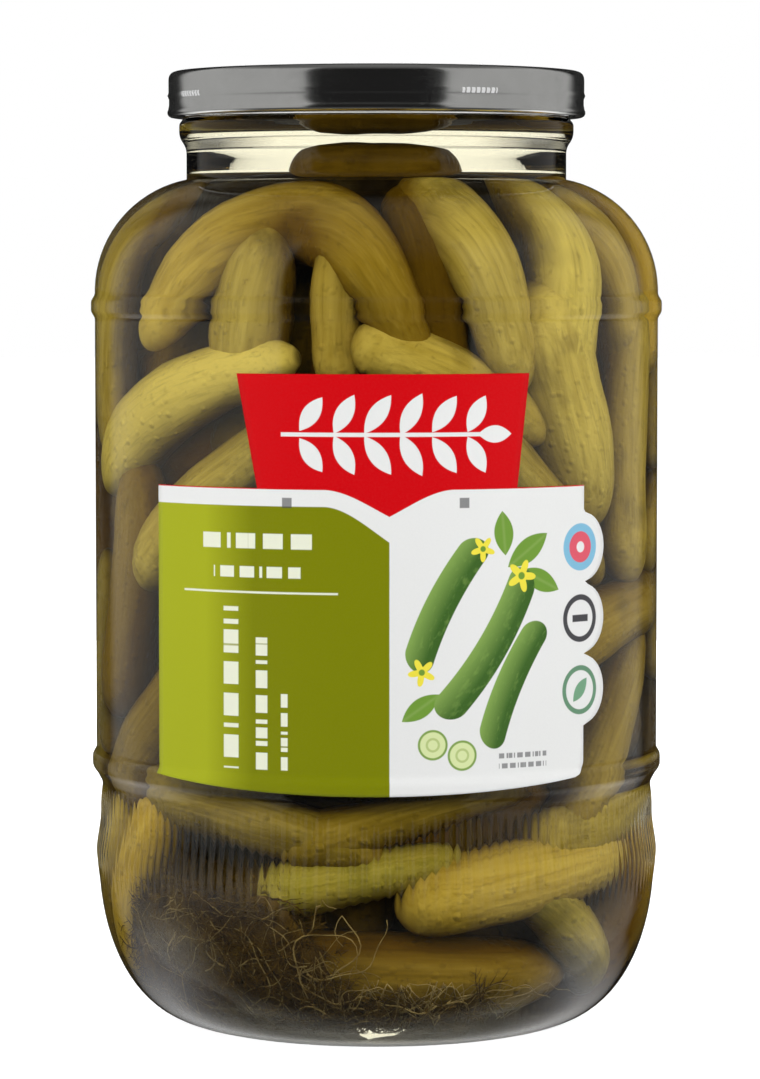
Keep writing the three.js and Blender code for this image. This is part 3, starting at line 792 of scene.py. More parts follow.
@dataclass(frozen=True)
class LabelFinish:
    """Glossy printed paper: a red field on top, then a green and a white one, with plain shapes."""

    white: Colour = (0.72, 0.725, 0.715)
    red: Colour = (0.55, 0.002, 0.005)
    green: Colour = (0.178, 0.198, 0.002)
    green_light: Colour = (0.34, 0.375, 0.014)
    pale: Colour = (0.73, 0.75, 0.60)
    rind: Colour = (0.045, 0.115, 0.020)
    rind_light: Colour = (0.20, 0.33, 0.075)
    leaf: Colour = (0.15, 0.29, 0.04)
    flesh: Colour = (0.62, 0.70, 0.36)
    seeds: Colour = (0.42, 0.52, 0.20)
    yellow: Colour = (0.78, 0.68, 0.06)
    blue_ink: Colour = (0.20, 0.45, 0.62)
    red_ink: Colour = (0.66, 0.10, 0.14)
    green_ink: Colour = (0.12, 0.25, 0.15)
    leaf_ink: Colour = (0.16, 0.33, 0.20)
    ink: Colour = (0.06, 0.06, 0.065)
    divide: float = 2.6
    badge_u: float = 45.0
    badge_heights: tuple[float, float, float] = (101.1, 86.9, 72.6)

    def fields(self, art: Artwork) -> bpy.types.NodeSocket:
        """The red, green and white fields and the white border between them, with painted light on the left
        of the green one.
        """
        near = abs(art.u - self.divide).rising(13.0, 0.0)
        dip = near * near * (3.0 - near * 2.0) * 0.35 + near * near * 0.65
        red = art.inside(dip * -5.2 + 113.2 - art.z, 0.0)
        # The green turns lighter towards the label's left edge: painted light, as if that side caught more of
        # the lamps.
        field = art.shader.blend(art.u.rising(-25.0, -36.0), self.green, self.green_light)
        left = art.inside(art.z - (109.9 - dip * 6.9), 0.0) * art.inside(art.u, self.divide)
        return art.over(self.white, left, field, red, self.red)

    def crest(self, art: Artwork, colour: object) -> bpy.types.NodeSocket:
        """A pale sprig of leaves across the red field."""
        stem = art.block(-19.0, 23.0, 123.6, 124.4)
        colour = art.over(colour, stem, self.white)
        for i in range(6):
            u = -14.5 + i * 6.6
            lean = 62 if i % 2 else 55
            size = 4.7 - abs(i - 2.5) * 0.28
            for height, way in ((128.0, 1), (120.0, -1)):
                colour = art.over(colour, art.leaf((u + 1.6, height), lean * way, size, 1.75), self.white)
        return art.over(colour, art.leaf((24.0, 124.0), 0, 3.6, 1.7), self.white)

    def text_bars(self, art: Artwork, colour: object) -> bpy.types.NodeSocket:
        """Rows of plain strokes on the green field, and small ones on the white."""
        rows = [(-38, -12, 103.0, 1.5, 0.95), (-34, -15, 96.9, 1.1, 1.25)]
        for left, right, height, half, scale in rows:
            row = art.block(left, right, height - half, height + half) * art.strokes(art.u, scale, height)
            colour = art.over(colour, row, self.pale)
        colour = art.over(colour, art.block(-41.5, -7.5, 92.7, 93.1), self.pale)
        columns = [(-30.0, 90.0, 1.7, 0.9), (-23.2, 84.5, 1.25, 1.15), (-18.4, 74.0, 0.7, 1.5)]
        for middle, high, half, scale in columns:
            column = art.block(middle - half, middle + half, 58.0, high) * art.strokes(art.z, scale, middle)
            colour = art.over(colour, column, self.pale)
        for height in (60.6, 58.6):
            row = art.block(25.0, 36.0, height - 0.5, height + 0.5) * art.strokes(art.u, 3.1, height)
            colour = art.over(colour, row * 0.7, self.ink)
        return colour

    def harvest(self, art: Artwork, colour: object) -> bpy.types.NodeSocket:
        """Three cucumbers lying aslant, with leaves, flowers and two slices."""
        shader = art.shader
        for centre, angle, half, width in [
            ((31.5, 101.0), 35, 5.6, 2.3),
            ((26.0, 104.5), 95, 4.4, 2.1),
            ((34.5, 95.0), -25, 5.0, 2.1),
            ((8.8, 70.5), 215, 4.6, 1.9),
        ]:
            leaf = art.leaf(centre, angle, half, width)
            vein = abs(art.turned(centre, angle)[1]).rising(0.0, 0.5)
            colour = art.over(colour, leaf, shader.blend(vein, self.rind_light, self.leaf))
        for centre, angle, half, width, bow in [
            ((14.5, 90.5), 62, 14.5, 3.1, 1.6),
            ((22.0, 83.0), 57, 17.0, 3.3, -1.8),
            ((28.8, 74.5), 64, 13.5, 3.0, 1.5),
        ]:
            mask, across = art.gherkin(centre, angle, half, width, bow)
            along = art.turned(centre, angle)[0]
            flecks = shader.noise(shader.joined(along * 0.35, across * 2.2, float(centre[0])), 1.3, 2.0)
            body = shader.blend((across * 0.5 + 0.5).rising(0.25, 0.95), self.rind, self.rind_light)
            body = art.over(body, flecks.rising(0.55, 0.75) * 0.45, self.rind_light)
            colour = art.over(colour, mask, body)
        for u, z, radius, turn in [(30.0, 96.0, 3.3, 0.4), (21.5, 101.5, 2.6, 1.6), (9.0, 77.5, 2.8, 2.4)]:
            petals, middle = art.flower(u, z, radius, turn), art.disc(u, z, radius * 0.22)
            colour = art.over(colour, petals, self.yellow, middle, self.leaf)
        for u, z in [(11.2, 63.2), (17.2, 61.0)]:
            colour = art.over(colour, art.disc(u, z, 3.0), self.rind_light, art.disc(u, z, 2.55), self.flesh)
            colour = art.over(colour, art.hoop(u, z, 1.2, 0.22), self.seeds)
        return colour

    def badges(self, art: Artwork, colour: object) -> bpy.types.NodeSocket:
        """Three round marks of plain rings down the right edge."""
        u = self.badge_u
        high, middle, low = self.badge_heights
        for radius, ink in ((4.7, self.blue_ink), (3.1, self.red_ink), (1.1, self.white)):
            colour = art.over(colour, art.disc(u, high, radius), ink)
        bar = art.block(u - 2.2, u + 2.2, middle - 0.7, middle + 0.7)
        colour = art.over(colour, art.hoop(u, middle, 4.2, 0.55), self.ink, bar, self.ink)
        colour = art.over(colour, art.hoop(u, low, 4.4, 0.5), self.green_ink)
        return art.over(colour, art.leaf((u, low), 50, 3.0, 1.3), self.leaf_ink)

    def material(self) -> bpy.types.Material:
        """Builds the finish."""
        shader = Shader("label_paper")
        art = Artwork(shader)
        colour = self.fields(art)
        for printed in (self.crest, self.text_bars, self.harvest, self.badges):
            colour = printed(art, colour)
        for u in (-17.8, 17.6):
            colour = art.over(colour, art.block(u - 1.0, u + 1.0, 109.6, 111.6) * 0.75, self.ink)
        fibre = shader.noise(shader.joined(art.u, art.z, 0.0), 2.2, 4.0)
        cockle = shader.noise(shader.joined(art.u, art.z * 0.5, 3.0), 0.09, 1.0)
        return shader.finish(
            {
                "Base Color": shader.blend(fibre.rising(0.4, 0.8) * 0.03, colour, (0.25, 0.24, 0.22)),
                "Roughness": 0.3 + fibre * 0.1,
                "IOR": 1.4,
                "Specular IOR Level": 0.2,
                "Normal": shader.bump(cockle * 8.0 + fibre * 0.1, 0.00005, 0.8),
            }
        )


@dataclass
class GlassJar:
    """The glass: a round body with two ridges, a ribbed band, a rounded shoulder and a screw finish."""

    body: float = 58.35
    stand_outer: float = 36.0
    stand_inner: float = 32.5
    punt: float = 2.2
    heel_radius: float = 58.0
    heel_top: float = 35.0
    groove: float = 57.05
    groove_low: float = 43.5
    groove_high: float = 49.2
    ridge: float = 0.8
    ridges: tuple[float, float] = (54.4, 148.4)
    ridge_half: float = 2.7
    shoulder_height: float = 151.4
    shoulder_centre: float = 34.8
    shoulder: float = 23.55
    neck: float = 39.3
    neck_top: float = 181.0
    bead: float = 40.8
    bead_low: float = 183.2
    bead_high: float = 186.0
    finish: float = 40.0
    rim: float = 195.7
    wall: float = 2.25
    floor: float = 4.6
    inner_heel: float = 33.0
    inner_heel_top: float = 36.0
    neck_inner: float = 36.6
    segments: int = 192
    ribs: int = 160
    rib_depth: float = 0.45
    rib_low: float = 29.5
    rib_high: float = 50.0
    rib_steps: int = 6

    def wall_radius(self, z: float) -> float:
        """The outside radius between the heel and the shoulder."""
        down = smooth_step(z, self.heel_top, self.groove_low)
        up = smooth_step(z, self.groove_high, self.groove_high + 3.6)
        radius = self.heel_radius + (self.groove - self.heel_radius) * down + (self.body - self.groove) * up
        for height in self.ridges:
            near = max(0.0, 1 - abs(z - height) / self.ridge_half)
            radius += self.ridge * smooth_step(near, 0.0, 0.7)
        return radius

    def shoulder_arc(self, curve: float, first: float, neck: float) -> Profile:
        """The round of the shoulder.

        Args:
            curve: Its radius.
            first: Where it starts, in degrees from level.
            neck: The neck's radius, where it ends.

        Returns:
            Radii and heights.
        """
        start = math.radians(first)
        end = math.acos((neck - self.shoulder_centre) / curve)
        arc = []
        for i in range(19):
            angle = start + (end - start) * i / 18
            r = self.shoulder_centre + curve * math.cos(angle)
            arc.append((r, self.shoulder_height + curve * math.sin(angle)))
        return arc

    def outer(self) -> Profile:
        """The outside from the stand to the neck's top."""
        heights = [36, 37.5, 39, 40.5, 42, 43.5, 45, 46.5, 48, 49.2]
        heights += [50 + 0.5 * i for i in range(17)]
        heights += [70, 90, 110, 130, 144]
        heights += [145 + 0.5 * i for i in range(14)]
        wall = [(self.wall_radius(z), z) for z in heights if z < self.shoulder_height]
        foot = heel((self.stand_outer, 0.0), (self.heel_radius, self.heel_top), 22)
        return foot + wall + self.shoulder_arc(self.shoulder, 2.0, self.neck)

    def inner(self) -> Profile:
        """The inside from the floor to the mouth."""
        radius = self.body - self.wall
        foot = heel((self.inner_heel, self.floor), (radius, self.inner_heel_top), 22)
        arc = self.shoulder_arc(self.shoulder - self.wall, 0.0, self.neck_inner)
        wall = [(radius, 60.0), (radius, 100.0), (radius, 140.0)]
        return foot + wall + arc + [(self.neck_inner, self.neck_top)]

    def inner_floor(self) -> Profile:
        """The raised middle of the floor, from the axis out."""
        return [(0.0, self.floor + self.punt * 0.6), (12.0, 5.6), (24.0, 5.1)]

    def inner_at(self, z: np.ndarray) -> np.ndarray:
        """The inside radius at some heights."""
        profile = self.inner()
        return np.interp(z, [p[1] for p in profile], [p[0] for p in profile])

    def rib_tree(self) -> Growth:
        """Pushes the points of the ribbed band in and out round the axis, fading at both ends."""
        sizes = {
            "Ribs": self.ribs,
            "Depth": self.rib_depth * MM,
            "Low": self.rib_low * MM,
            "High": self.rib_high * MM,
            "Outside": (self.groove - 0.6) * MM,
        }
        tree = Growth("upright_ribs", sizes)
        place = tree.node("GeometryNodeInputPosition").outputs[0]
        x, y, z = tree.parts(place)
        radius = (x * x + y * y) ** 0.5
        azimuth = tree.maths("ARCTAN2", x, 0.0 - y)
        wave = tree.maths("COSINE", azimuth * tree.size("Ribs"))
        low = ((z - tree.size("Low")) / 0.006).clamped()
        high = ((tree.size("High") - z) / 0.004).clamped()
        band = tree.maths("GREATER_THAN", radius, tree.size("Outside"))
        crest = (wave * 0.5 + 0.5) ** 2.5
        push = crest * tree.size("Depth") * low * high * band
        offset = tree.joined(x / radius * push, y / radius * push, 0.0)
        inputs = {"Geometry": tree.inlet.outputs["Geometry"], "Offset": offset}
        moved = tree.node("GeometryNodeSetPosition", inputs=inputs)
        tree.end(moved.outputs[0])
        return tree

    def build(self, finish: GlassFinish) -> bpy.types.Object:
        """Makes the jar, with its ribs in the same skin."""
        stand = [(0.0, self.punt), (12.0, self.punt * 0.96), (self.stand_inner - 7, self.punt * 0.72)]
        stand += [(self.stand_inner - 2.5, 0.75), (self.stand_inner, 0.12), (self.stand_inner + 1, 0.0)]
        finish_part = rounded(
            [
                (self.neck, 176.0),
                (self.neck, self.neck_top),
                (self.bead, self.bead_low),
                (self.bead, self.bead_high),
                (self.finish, self.bead_high + 0.9),
                (self.finish, self.rim),
                (self.neck_inner, self.rim),
                (self.neck_inner, self.rim - 3),
            ],
            1.4,
        )
        profile = stand + self.outer() + finish_part + self.inner()[::-1] + self.inner_floor()[::-1]
        fine = self.ribs * self.rib_steps
        rings = []
        for r, z in profile:
            ribbed = r > self.groove - 0.6 and self.rib_low - 1.5 < z < self.rib_high + 1
            rings.append(ring(r, z, 1 if r == 0 else fine if ribbed else self.segments))
        vertices, faces = skin(rings)
        material = finish.material()
        made = new_object("glass_jar", vertices, faces, material)
        turn_outwards(made)
        self.rib_tree().grow(made, material)
        made.data.shade_smooth()
        made.visible_shadow = False
        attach(made, BODY)
        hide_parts("jar")
        return made


@dataclass
class Brine:
    """The liquid, which reaches just into the glass so that no air gap shows."""

    reach: float = 0.25
    level: float = 186.2
    meniscus: float = 0.6

    def build(self, jar: GlassJar, finish: BrineFinish) -> bpy.types.Object:
        """Makes the liquid inside a jar."""
        inside = [(r + self.reach, z - (self.reach if z < 20 else 0.0)) for r, z in jar.inner()]
        bottom = [(r, z - self.reach) for r, z in jar.inner_floor()]
        edge = jar.neck_inner + self.reach
        top = [(edge, self.level), (edge - 0.9, self.level - self.meniscus * 0.6)]
        top += [(edge - 3, self.level - self.meniscus), (0.0, self.level - self.meniscus)]
        made = turned("brine", bottom + inside + top, 128, finish.material())
        made.visible_shadow = False
        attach(made, BODY)
        return made


@dataclass
class TwistCap:
    """The pressed cap: a panel with a safety button, a rounded corner, a skirt and a rolled curl."""

    radius: float = 43.25
    top: float = 196.7
    bottom: float = 187.3
    sheet: float = 0.6
    corner: float = 1.9
    panel: float = 35.2
    panel_drop: float = 0.75
    button: float = 15.0
    button_drop: float = 0.45
    curl: float = 0.95

    def build(self, finish: LidFinish) -> bpy.types.Object:
        """Makes the cap."""
        panel = self.top - self.panel_drop
        low = panel - self.button_drop
        outside = rounded(
            [
                (0.0, low),
                (self.button - 1.8, low),
                (self.button, panel),
                (self.panel - 1.2, panel),
                (self.panel + 0.8, self.top),
                (self.radius - 0.25, self.top),
                (self.radius - 0.25, self.top - 4.0),
            ],
            self.corner,
            6,
        )[:-1]
        skirt = [
            (self.radius - 0.25, self.top - 4.4),
            (self.radius - 0.05, self.top - 5.0),
            (self.radius - 0.35, self.top - 5.7),
            (self.radius - 0.35, self.bottom + 2.4),
        ]
        middle = (self.radius - self.curl, self.bottom + self.curl)
        roll = []
        for i in range(13):
            angle = math.radians(35 - 260 * i / 12)
            roll.append((middle[0] + self.curl * math.cos(angle), middle[1] + self.curl * math.sin(angle)))
        inner = self.radius - self.sheet - 0.35
        inside = [
            (inner, self.bottom + 2.6),
            (inner, self.top - self.corner - 0.3),
            (inner - 1.2, self.top - self.sheet),
            (self.panel + 0.2, self.top - self.sheet),
            (self.panel - 1.4, panel - self.sheet),
            (self.button + 0.2, panel - self.sheet),
            (self.button - 1.6, low - self.sheet),
            (0.0, low - self.sheet),
        ]
        made = turned("twist_cap", outside + skirt + roll + inside, 192, finish.material())
        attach(made, BODY)
        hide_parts("lid")
        return made


@dataclass
class PaperLabel:
    """The label: a curved sheet with a flared panel on top and three round lobes down its right edge."""

    arc: float = 58.8
    gap: float = 0.07
    sheet: float = 0.14
    left: float = -49.0
    right: float = 46.0
    top: float = 113.4
    bottom: float = 53.2
    rise: float = 2.4
    corner: float = 3.0
    panel_top: float = 135.8
    panel_high: tuple[float, float] = (-28.6, 31.7)
    panel_low: tuple[float, float] = (-24.1, 29.0)
    lobe: float = 7.0
    lobes: tuple[float, float, float] = (101.1, 86.9, 72.6)
    lobe_inset: float = 0.8
    counts: tuple[int, int, int] = (16, 34, 14)
    row_step: float = 0.6
    edge_rows: int = 9
    panel_rows: int = 28

    def right_edge(self, z: float) -> float:
        """The sheet's right edge at a height, with its lobes and its round corner."""
        edge = self.right
        for height in self.lobes:
            reach = self.lobe**2 - (z - height) ** 2
            if reach > 0:
                edge = max(edge, self.right - self.lobe_inset + math.sqrt(reach))
        low = self.bottom + self.rise + self.corner
        if z < low:
            down = min((low - z) / self.corner, 1.0)
            edge -= self.corner * (1 - math.sqrt(max(0.0, 1 - down * down)))
        return edge

    def bottom_edge(self, u: float) -> float:
        """The height of the sheet's lower edge, which hangs a little in the middle."""
        share = (u - self.left) / (self.right - self.left)
        return self.bottom + self.rise - 4 * share * (1 - share) * self.rise

    def columns(self, z: float) -> list[float]:
        """The places along a row of the sheet."""
        marks = [self.left, self.panel_low[0], self.panel_low[1], self.right_edge(z)]
        made = [marks[0]]
        for start, end, count in zip(marks, marks[1:], self.counts):
            made += [start + (end - start) * (i + 1) / count for i in range(count)]
        return made

    def flat(self) -> tuple[np.ndarray, list]:
        """The flat points and faces of the sheet and of the panel, which meet along the panel's foot."""
        span = self.top - self.bottom - self.rise - 2
        heights = [self.top - self.row_step * i for i in range(int(span / self.row_step))]
        sheet = [[(u, z) for u in self.columns(z)] for z in heights]
        base = heights[-1]
        for step in range(1, self.edge_rows + 1):
            share = step / self.edge_rows
            across = self.columns(base - (base - self.bottom - self.rise) * share)
            sheet.append([(u, base + (self.bottom_edge(u) - base) * share) for u in across])
        panel = []
        for step in range(self.panel_rows + 1):
            share = step / self.panel_rows
            z = self.top + (self.panel_top - self.top) * share
            low, high = (a + (b - a) * share for a, b in zip(self.panel_low, self.panel_high))
            panel.append([(low + (high - low) * i / self.counts[1], z) for i in range(self.counts[1] + 1)])
        points, faces = [], []
        for rows in (sheet, panel):
            start, width = len(points), len(rows[0])
            points += [point for row in rows for point in row]
            for j in range(len(rows) - 1):
                for a in range(start + j * width, start + (j + 1) * width - 1):
                    faces.append((a, a + width, a + width + 1, a + 1))
        return np.array(points), faces

    def build(self, jar: GlassJar, finish: LabelFinish) -> bpy.types.Object:
        """Makes the label, bent round a jar."""
        points, faces = self.flat()
        angles = points[:, 0] / self.arc
        radii = np.array([jar.wall_radius(z) for z in points[:, 1]]) + self.gap
        vertices = np.stack([radii * np.sin(angles), -radii * np.cos(angles), points[:, 1]], 1)
        made = new_object("paper_label", vertices, faces, finish.material())
        turn_outwards(made)
        if made.data.polygons[0].normal.y > 0:
            made.data.flip_normals()
        flat = made.data.uv_layers.new(name="flat")
        for corner in made.data.loops:
            place = made.data.vertices[corner.vertex_index].co
            angle = math.atan2(place.x, -place.y)
            flat.data[corner.index].uv = (angle * self.arc / 100, place.z / MM / 100)
        thick = made.modifiers.new("paper", "SOLIDIFY")
        thick.thickness = self.sheet * MM
        thick.offset = 1.0
        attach(made, BODY)
        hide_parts("label")
        return made


@dataclass
class Lane:
    """The path that the middle of a cucumber against the wall follows, from the floor up to the neck."""

    depth: float
    clearance: float = 0.5
    start: float = 16.0
    top: float = 176.0
    r: np.ndarray = field(init=False)
    z: np.ndarray = field(init=False)
    lengths: np.ndarray = field(init=False)

    def __post_init__(self) -> None:
        """Lays the path out."""
        jar = GlassJar()
        gap = self.depth + self.clearance
        radius = jar.body - jar.wall
        points = [(self.start, jar.floor + gap)]
        points += heel((jar.inner_heel, jar.floor + gap), (radius - gap, jar.inner_heel_top), 8)
        curve = jar.shoulder - jar.wall - gap
        for i in range(7):
            angle = math.radians(75 * i / 6)
            r = jar.shoulder_centre + curve * math.cos(angle)
            points.append((r, jar.shoulder_height + curve * math.sin(angle)))
        points.append((jar.neck_inner - gap, jar.shoulder_height + curve + 5))
        points.append((jar.neck_inner - gap, self.top))
        path = np.array(points)
        self.r, self.z = path[:, 0], path[:, 1]
        self.lengths = np.concatenate([[0.0], np.cumsum(np.linalg.norm(np.diff(path, axis=0), axis=1))])

    def at(self, length: np.ndarray) -> tuple[np.ndarray, np.ndarray]:
        """The radius and height at some lengths along the path."""
        return np.interp(length, self.lengths, self.r), np.interp(length, self.lengths, self.z)

    def length_at(self, z: float) -> float:
        """The length along the path at a height."""
        return float(np.interp(z, self.z[1:], self.lengths[1:]))


@dataclass
class Cucumbers:
    """The places of some cucumbers, one number of each array to a cucumber."""

    azimuth: np.ndarray
    along: np.ndarray
    tilt: np.ndarray
    half: np.ndarray
    girth: np.ndarray
    bow: np.ndarray
    sunk: np.ndarray
    kept: np.ndarray
    tone: np.ndarray
    hue: np.ndarray
    fade: np.ndarray

    REFERENCE = 8.4
    LEAST_TURN = 25.6

    @classmethod
    def of(cls, rows: Sequence[Sequence[float]], kept: bool) -> "Cucumbers":
        """Makes them from rows.

        Args:
            rows: Azimuth, length along the lane, tilt, length, thickness, bow, depth, tone, hue and how the
                tone changes along each.
            kept: Whether they keep their places.

        Returns:
            The cucumbers.
        """
        table = np.array(rows, float)
        girth = table[:, 4] / 2
        flags = np.full(len(table), kept)
        azimuth, tilt = np.radians(table[:, 0]), np.radians(table[:, 2])
        half = (table[:, 3] - table[:, 4]) / 2
        return cls(azimuth, table[:, 1], tilt, half, girth, table[:, 5], table[:, 6], flags, *table[:, 7:].T)

    def joined(self, other: "Cucumbers") -> "Cucumbers":
        """These and some others."""
        names = self.__dataclass_fields__
        return Cucumbers(*(np.concatenate([getattr(self, n), getattr(other, n)]) for n in names))

    def spines(self, lane: Lane, shares: np.ndarray) -> dict[str, np.ndarray]:
        """Points on the spines, pressed against the wall.

        Args:
            lane: The path that they follow.
            shares: Places on a spine from -1 to 1.

        Returns:
            The points p, and across, up, azimuth and over of each, one row to a cucumber.
        """
        straight = self.half[:, None] * shares
        bow = self.bow[:, None] * (1 - shares**2)
        tilt = self.tilt[:, None]
        across = straight * np.cos(tilt) - bow * np.sin(tilt)
        up = straight * np.sin(tilt) + bow * np.cos(tilt)
        length = self.along[:, None] + up
        r, z = lane.at(length)
        own = np.maximum(lane.at(self.along)[0], self.LEAST_TURN)[:, None]
        azimuth = self.azimuth[:, None] + across / own
        r = r + self.REFERENCE - self.girth[:, None] - self.sunk[:, None]
        over = np.minimum(length, 0) + np.maximum(length - lane.lengths[-1], 0)
        points = np.stack([r * np.sin(azimuth), -r * np.cos(azimuth), z], -1)
        return {"p": points, "across": across, "up": up, "azimuth": azimuth, "over": over}


@dataclass
class PickleHeap:
    """The cucumbers: those that show at the front, the rest round the wall, a layer behind, and a core in
    painted shade.
    """

    samples: tuple[float, ...] = (-1.0, -0.5, 0.0, 0.5, 1.0)
    touch: float = 0.93
    ruled: int = 34
    ruled_from: float = 80.0
    ruled_span: float = 205.0
    tries: int = 40
    settling: int = 90
    largest_move: float = 3.0
    largest_turn: float = 0.1
    wall_follow: float = 0.62
    front_follow: float = 0.92
    rings: int = 34
    sides: int = 22
    inner_count: int = 56
    inner_depth: float = 20.5
    core_depth: float = 22.0
    clearance: float = 0.14
    clear_above: float = 171.0
    plump: float = 1.06

    FRONT = [
        (1, 176.5, 6, 40, 14, 2, 8, 0.3, 0, 0),
        (-120, 174, -12, 46, 14, 2, 5, 0.5, 0, 0),
        (128, 174, 14, 44, 14, 2, 6, 0.5, 0, 0),
        (-22, 148, -6, 58, 13.5, 22, 0, 0.5, 0.35, -0.33),
        (-30, 147, 82, 34, 14, 0, 2.5, 0.75, 0, 0),
        (-8, 150, 88, 36, 9, 1, 4, 0.85, 0.15, 0),
        (-74, 146, 80, 56, 13, 4, 0, 0.6, 0.1, 0),
        (24, 155, -72, 50, 13.5, 1, 0, 0.7, 0, 0),
        (13, 150, -84, 46, 12, 0, 5, -0.3, 0.1, 0),
        (46, 155, 84, 50, 14, -1, 0, 1.0, -0.1, 0),
        (66, 150, -74, 44, 12, 2, 2, 0.85, 0.3, 0),
        (84, 158, 86, 48, 13, 0, 0, 1.1, 0.8, 0),
        (-50, 127, 27, 60, 14.5, 3, 0, 1.2, -0.05, 0.1),
        (-38, 111, 40, 56, 13, 1, 1, 0.7, 0, 0),
        (18, 133, -28, 44, 12, 1, 2, 0.85, 0.1, 0),
        (48, 129, -72, 52, 17, 0, 0, 0.85, 0, 0),
        (36, 113, -46, 56, 13, 0, 2, 0.6, 0, 0),
        (72, 122, 86, 60, 13, 2, 0, 0.65, 0.2, 0),
        (-69, 92, 78, 56, 14, -2, 0, 0.0, 0.35, 0.2),
        (-52, 66, 46, 50, 14, 2, 0, 0.0, 0.2, 0),
        (66, 84, 12, 50, 13.5, 2, 0, 0.3, 0.3, 0),
        (63, 63, 58, 50, 14, 0, 1, 0.35, 0.2, 0),
        (38, 34, 8, 56, 14, 1, 0, 0.75, 0.35, 0.15),
        (14, 17, -5, 60, 14, 0, 0.5, 0.3, 0.4, 0.3),
        (52, 23, -40, 44, 11, 0, 1, 0.6, -0.4, 0),
        (-4, 36, 12, 40, 10, 0, 2, 0.7, -0.8, 0),
        (-64, 33, 62, 46, 13, 2, 0, 0.8, 0.6, 0),
        (66, 45, 8, 50, 13, 0, 1, 0.6, 0, 0),
        (-28, 46, -14, 54, 14, 2, 0.5, 0.25, 0, 0),
        (8, 50, 20, 54, 13, 0, 1, 0.2, 0.1, 0),
    ]
    FILLING = [(-110, 138, 84, 54, 15, 0, 0, 0.5, 0.2, 0)]

    def ruled_row(self, lane: Lane, index: int, turn: int) -> list[float]:
        """One try for a cucumber of the rest."""
        upright = chance(index, turn + 1) < 0.55
        tilt = 60 + 60 * chance(index, turn + 2) if upright else -50 + 100 * chance(index, turn + 2)
        length = 54 + 16 * chance(index, 3)
        reach = length / 2 * abs(math.sin(math.radians(tilt)))
        along = reach - 4 + (lane.lengths[-1] - 2 * reach + 6) * chance(index, turn + 4)
        bow = -4 + 9 * chance(index, 6)
        azimuth = self.ruled_from + self.ruled_span * chance(index, turn + 5)
        finish = [0.35 + 0.6 * chance(index, 8), 1.6 * chance(index, 9) - 0.7, 0.5 * chance(index, 12) - 0.25]
        return [azimuth, along, tilt, length, 13 + 3 * chance(index, 7), bow, 0, *finish]

    def freest(self, lane: Lane, placed: Cucumbers, tries: Cucumbers) -> int:
        """The try that is furthest from the cucumbers already placed."""
        shares = np.array(self.samples)
        old = placed.spines(lane, shares)["p"].reshape(-1, 3)
        old_girth = np.repeat(placed.girth, len(shares))
        new = tries.spines(lane, shares)["p"]
        gaps = np.linalg.norm(new[:, :, None, :] - old[None, None], axis=-1)
        gaps /= tries.girth[:, None, None] + old_girth
        return int(np.argmax(gaps.min(axis=(1, 2))))

    def settle(self, lane: Lane, all_of: Cucumbers) -> None:
        """Pushes cucumbers that overlap apart, along the wall."""
        shares = np.array(self.samples)
        need = (all_of.girth[:, None] + all_of.girth[None]) * self.touch
        weight = np.where(all_of.kept, 0.24, 0.12)
        apart = ~np.eye(len(need), dtype=bool)[:, :, None, None]
        for _ in range(self.settling):
            s = all_of.spines(lane, shares)
            push = s["p"][:, None, :, None] - s["p"][None, :, None, :]
            gap = np.linalg.norm(push, axis=-1)
            close = (gap < need[:, :, None, None]) & (gap >= 1e-6) & apart
            size = np.where(close, (need[:, :, None, None] - gap) / np.maximum(gap, 1e-6), 0.0)
            total = (push * (size * weight[None, :, None, None])[..., None]).sum(axis=(1, 3))
            sin, cos = np.sin(s["azimuth"]), np.cos(s["azimuth"])
            sideways = total[..., 0] * cos + total[..., 1] * sin
            outwards = total[..., 0] * sin - total[..., 1] * cos
            low = lane.at(all_of.along[:, None] + s["up"] - 0.5)
            high = lane.at(all_of.along[:, None] + s["up"] + 0.5)
            upwards = (high[0] - low[0]) * outwards + (high[1] - low[1]) * total[..., 2]
            turning = (s["across"] * upwards - s["up"] * sideways).sum(axis=1) / all_of.half**2
            rise = upwards.sum(axis=1) - (s["over"] * 0.3).sum(axis=1)
            free = ~all_of.kept
            radius = np.maximum(lane.at(all_of.along)[0], Cucumbers.LEAST_TURN)
            most = self.largest_move
            all_of.azimuth += np.where(free, np.clip(sideways.sum(axis=1), -most, most) / radius, 0)
            all_of.along += np.where(free, np.clip(rise, -most, most), 0)
            all_of.tilt += np.where(free, np.clip(turning, -self.largest_turn, self.largest_turn), 0)

    def against_wall(self, lane: Lane) -> Cucumbers:
        """The outer layer: those at the front, then the rest, each in the freest place of some tries."""
        rows = [(row[0], lane.length_at(row[1]), *row[2:]) for row in self.FRONT]
        placed = Cucumbers.of(rows, True)
        for index in range(self.ruled):
            rows = [self.ruled_row(lane, index, turn * 10 + 10) for turn in range(self.tries)]
            best = self.freest(lane, placed, Cucumbers.of(rows, False))
            placed = placed.joined(Cucumbers.of([rows[best]], False))
        self.settle(lane, placed)
        return self.below(lane, placed, self.clear_above, 1)

    def below(self, lane: Lane, all_of: Cucumbers, height: float, kept: int) -> Cucumbers:
        """Leaves out those that reach into the neck, where clear brine shows.

        Args:
            lane: The path that they follow.
            all_of: The cucumbers.
            height: The height that they stay under.
            kept: How many of the first stay whatever they reach.

        Returns:
            The rest.
        """
        tops = all_of.spines(lane, np.array([-1.0, 0.0, 1.0]))["p"][..., 2].max(axis=1)
        stay = (tops < height) | (np.arange(len(tops)) < kept)
        return Cucumbers(*(getattr(all_of, name)[stay] for name in all_of.__dataclass_fields__))

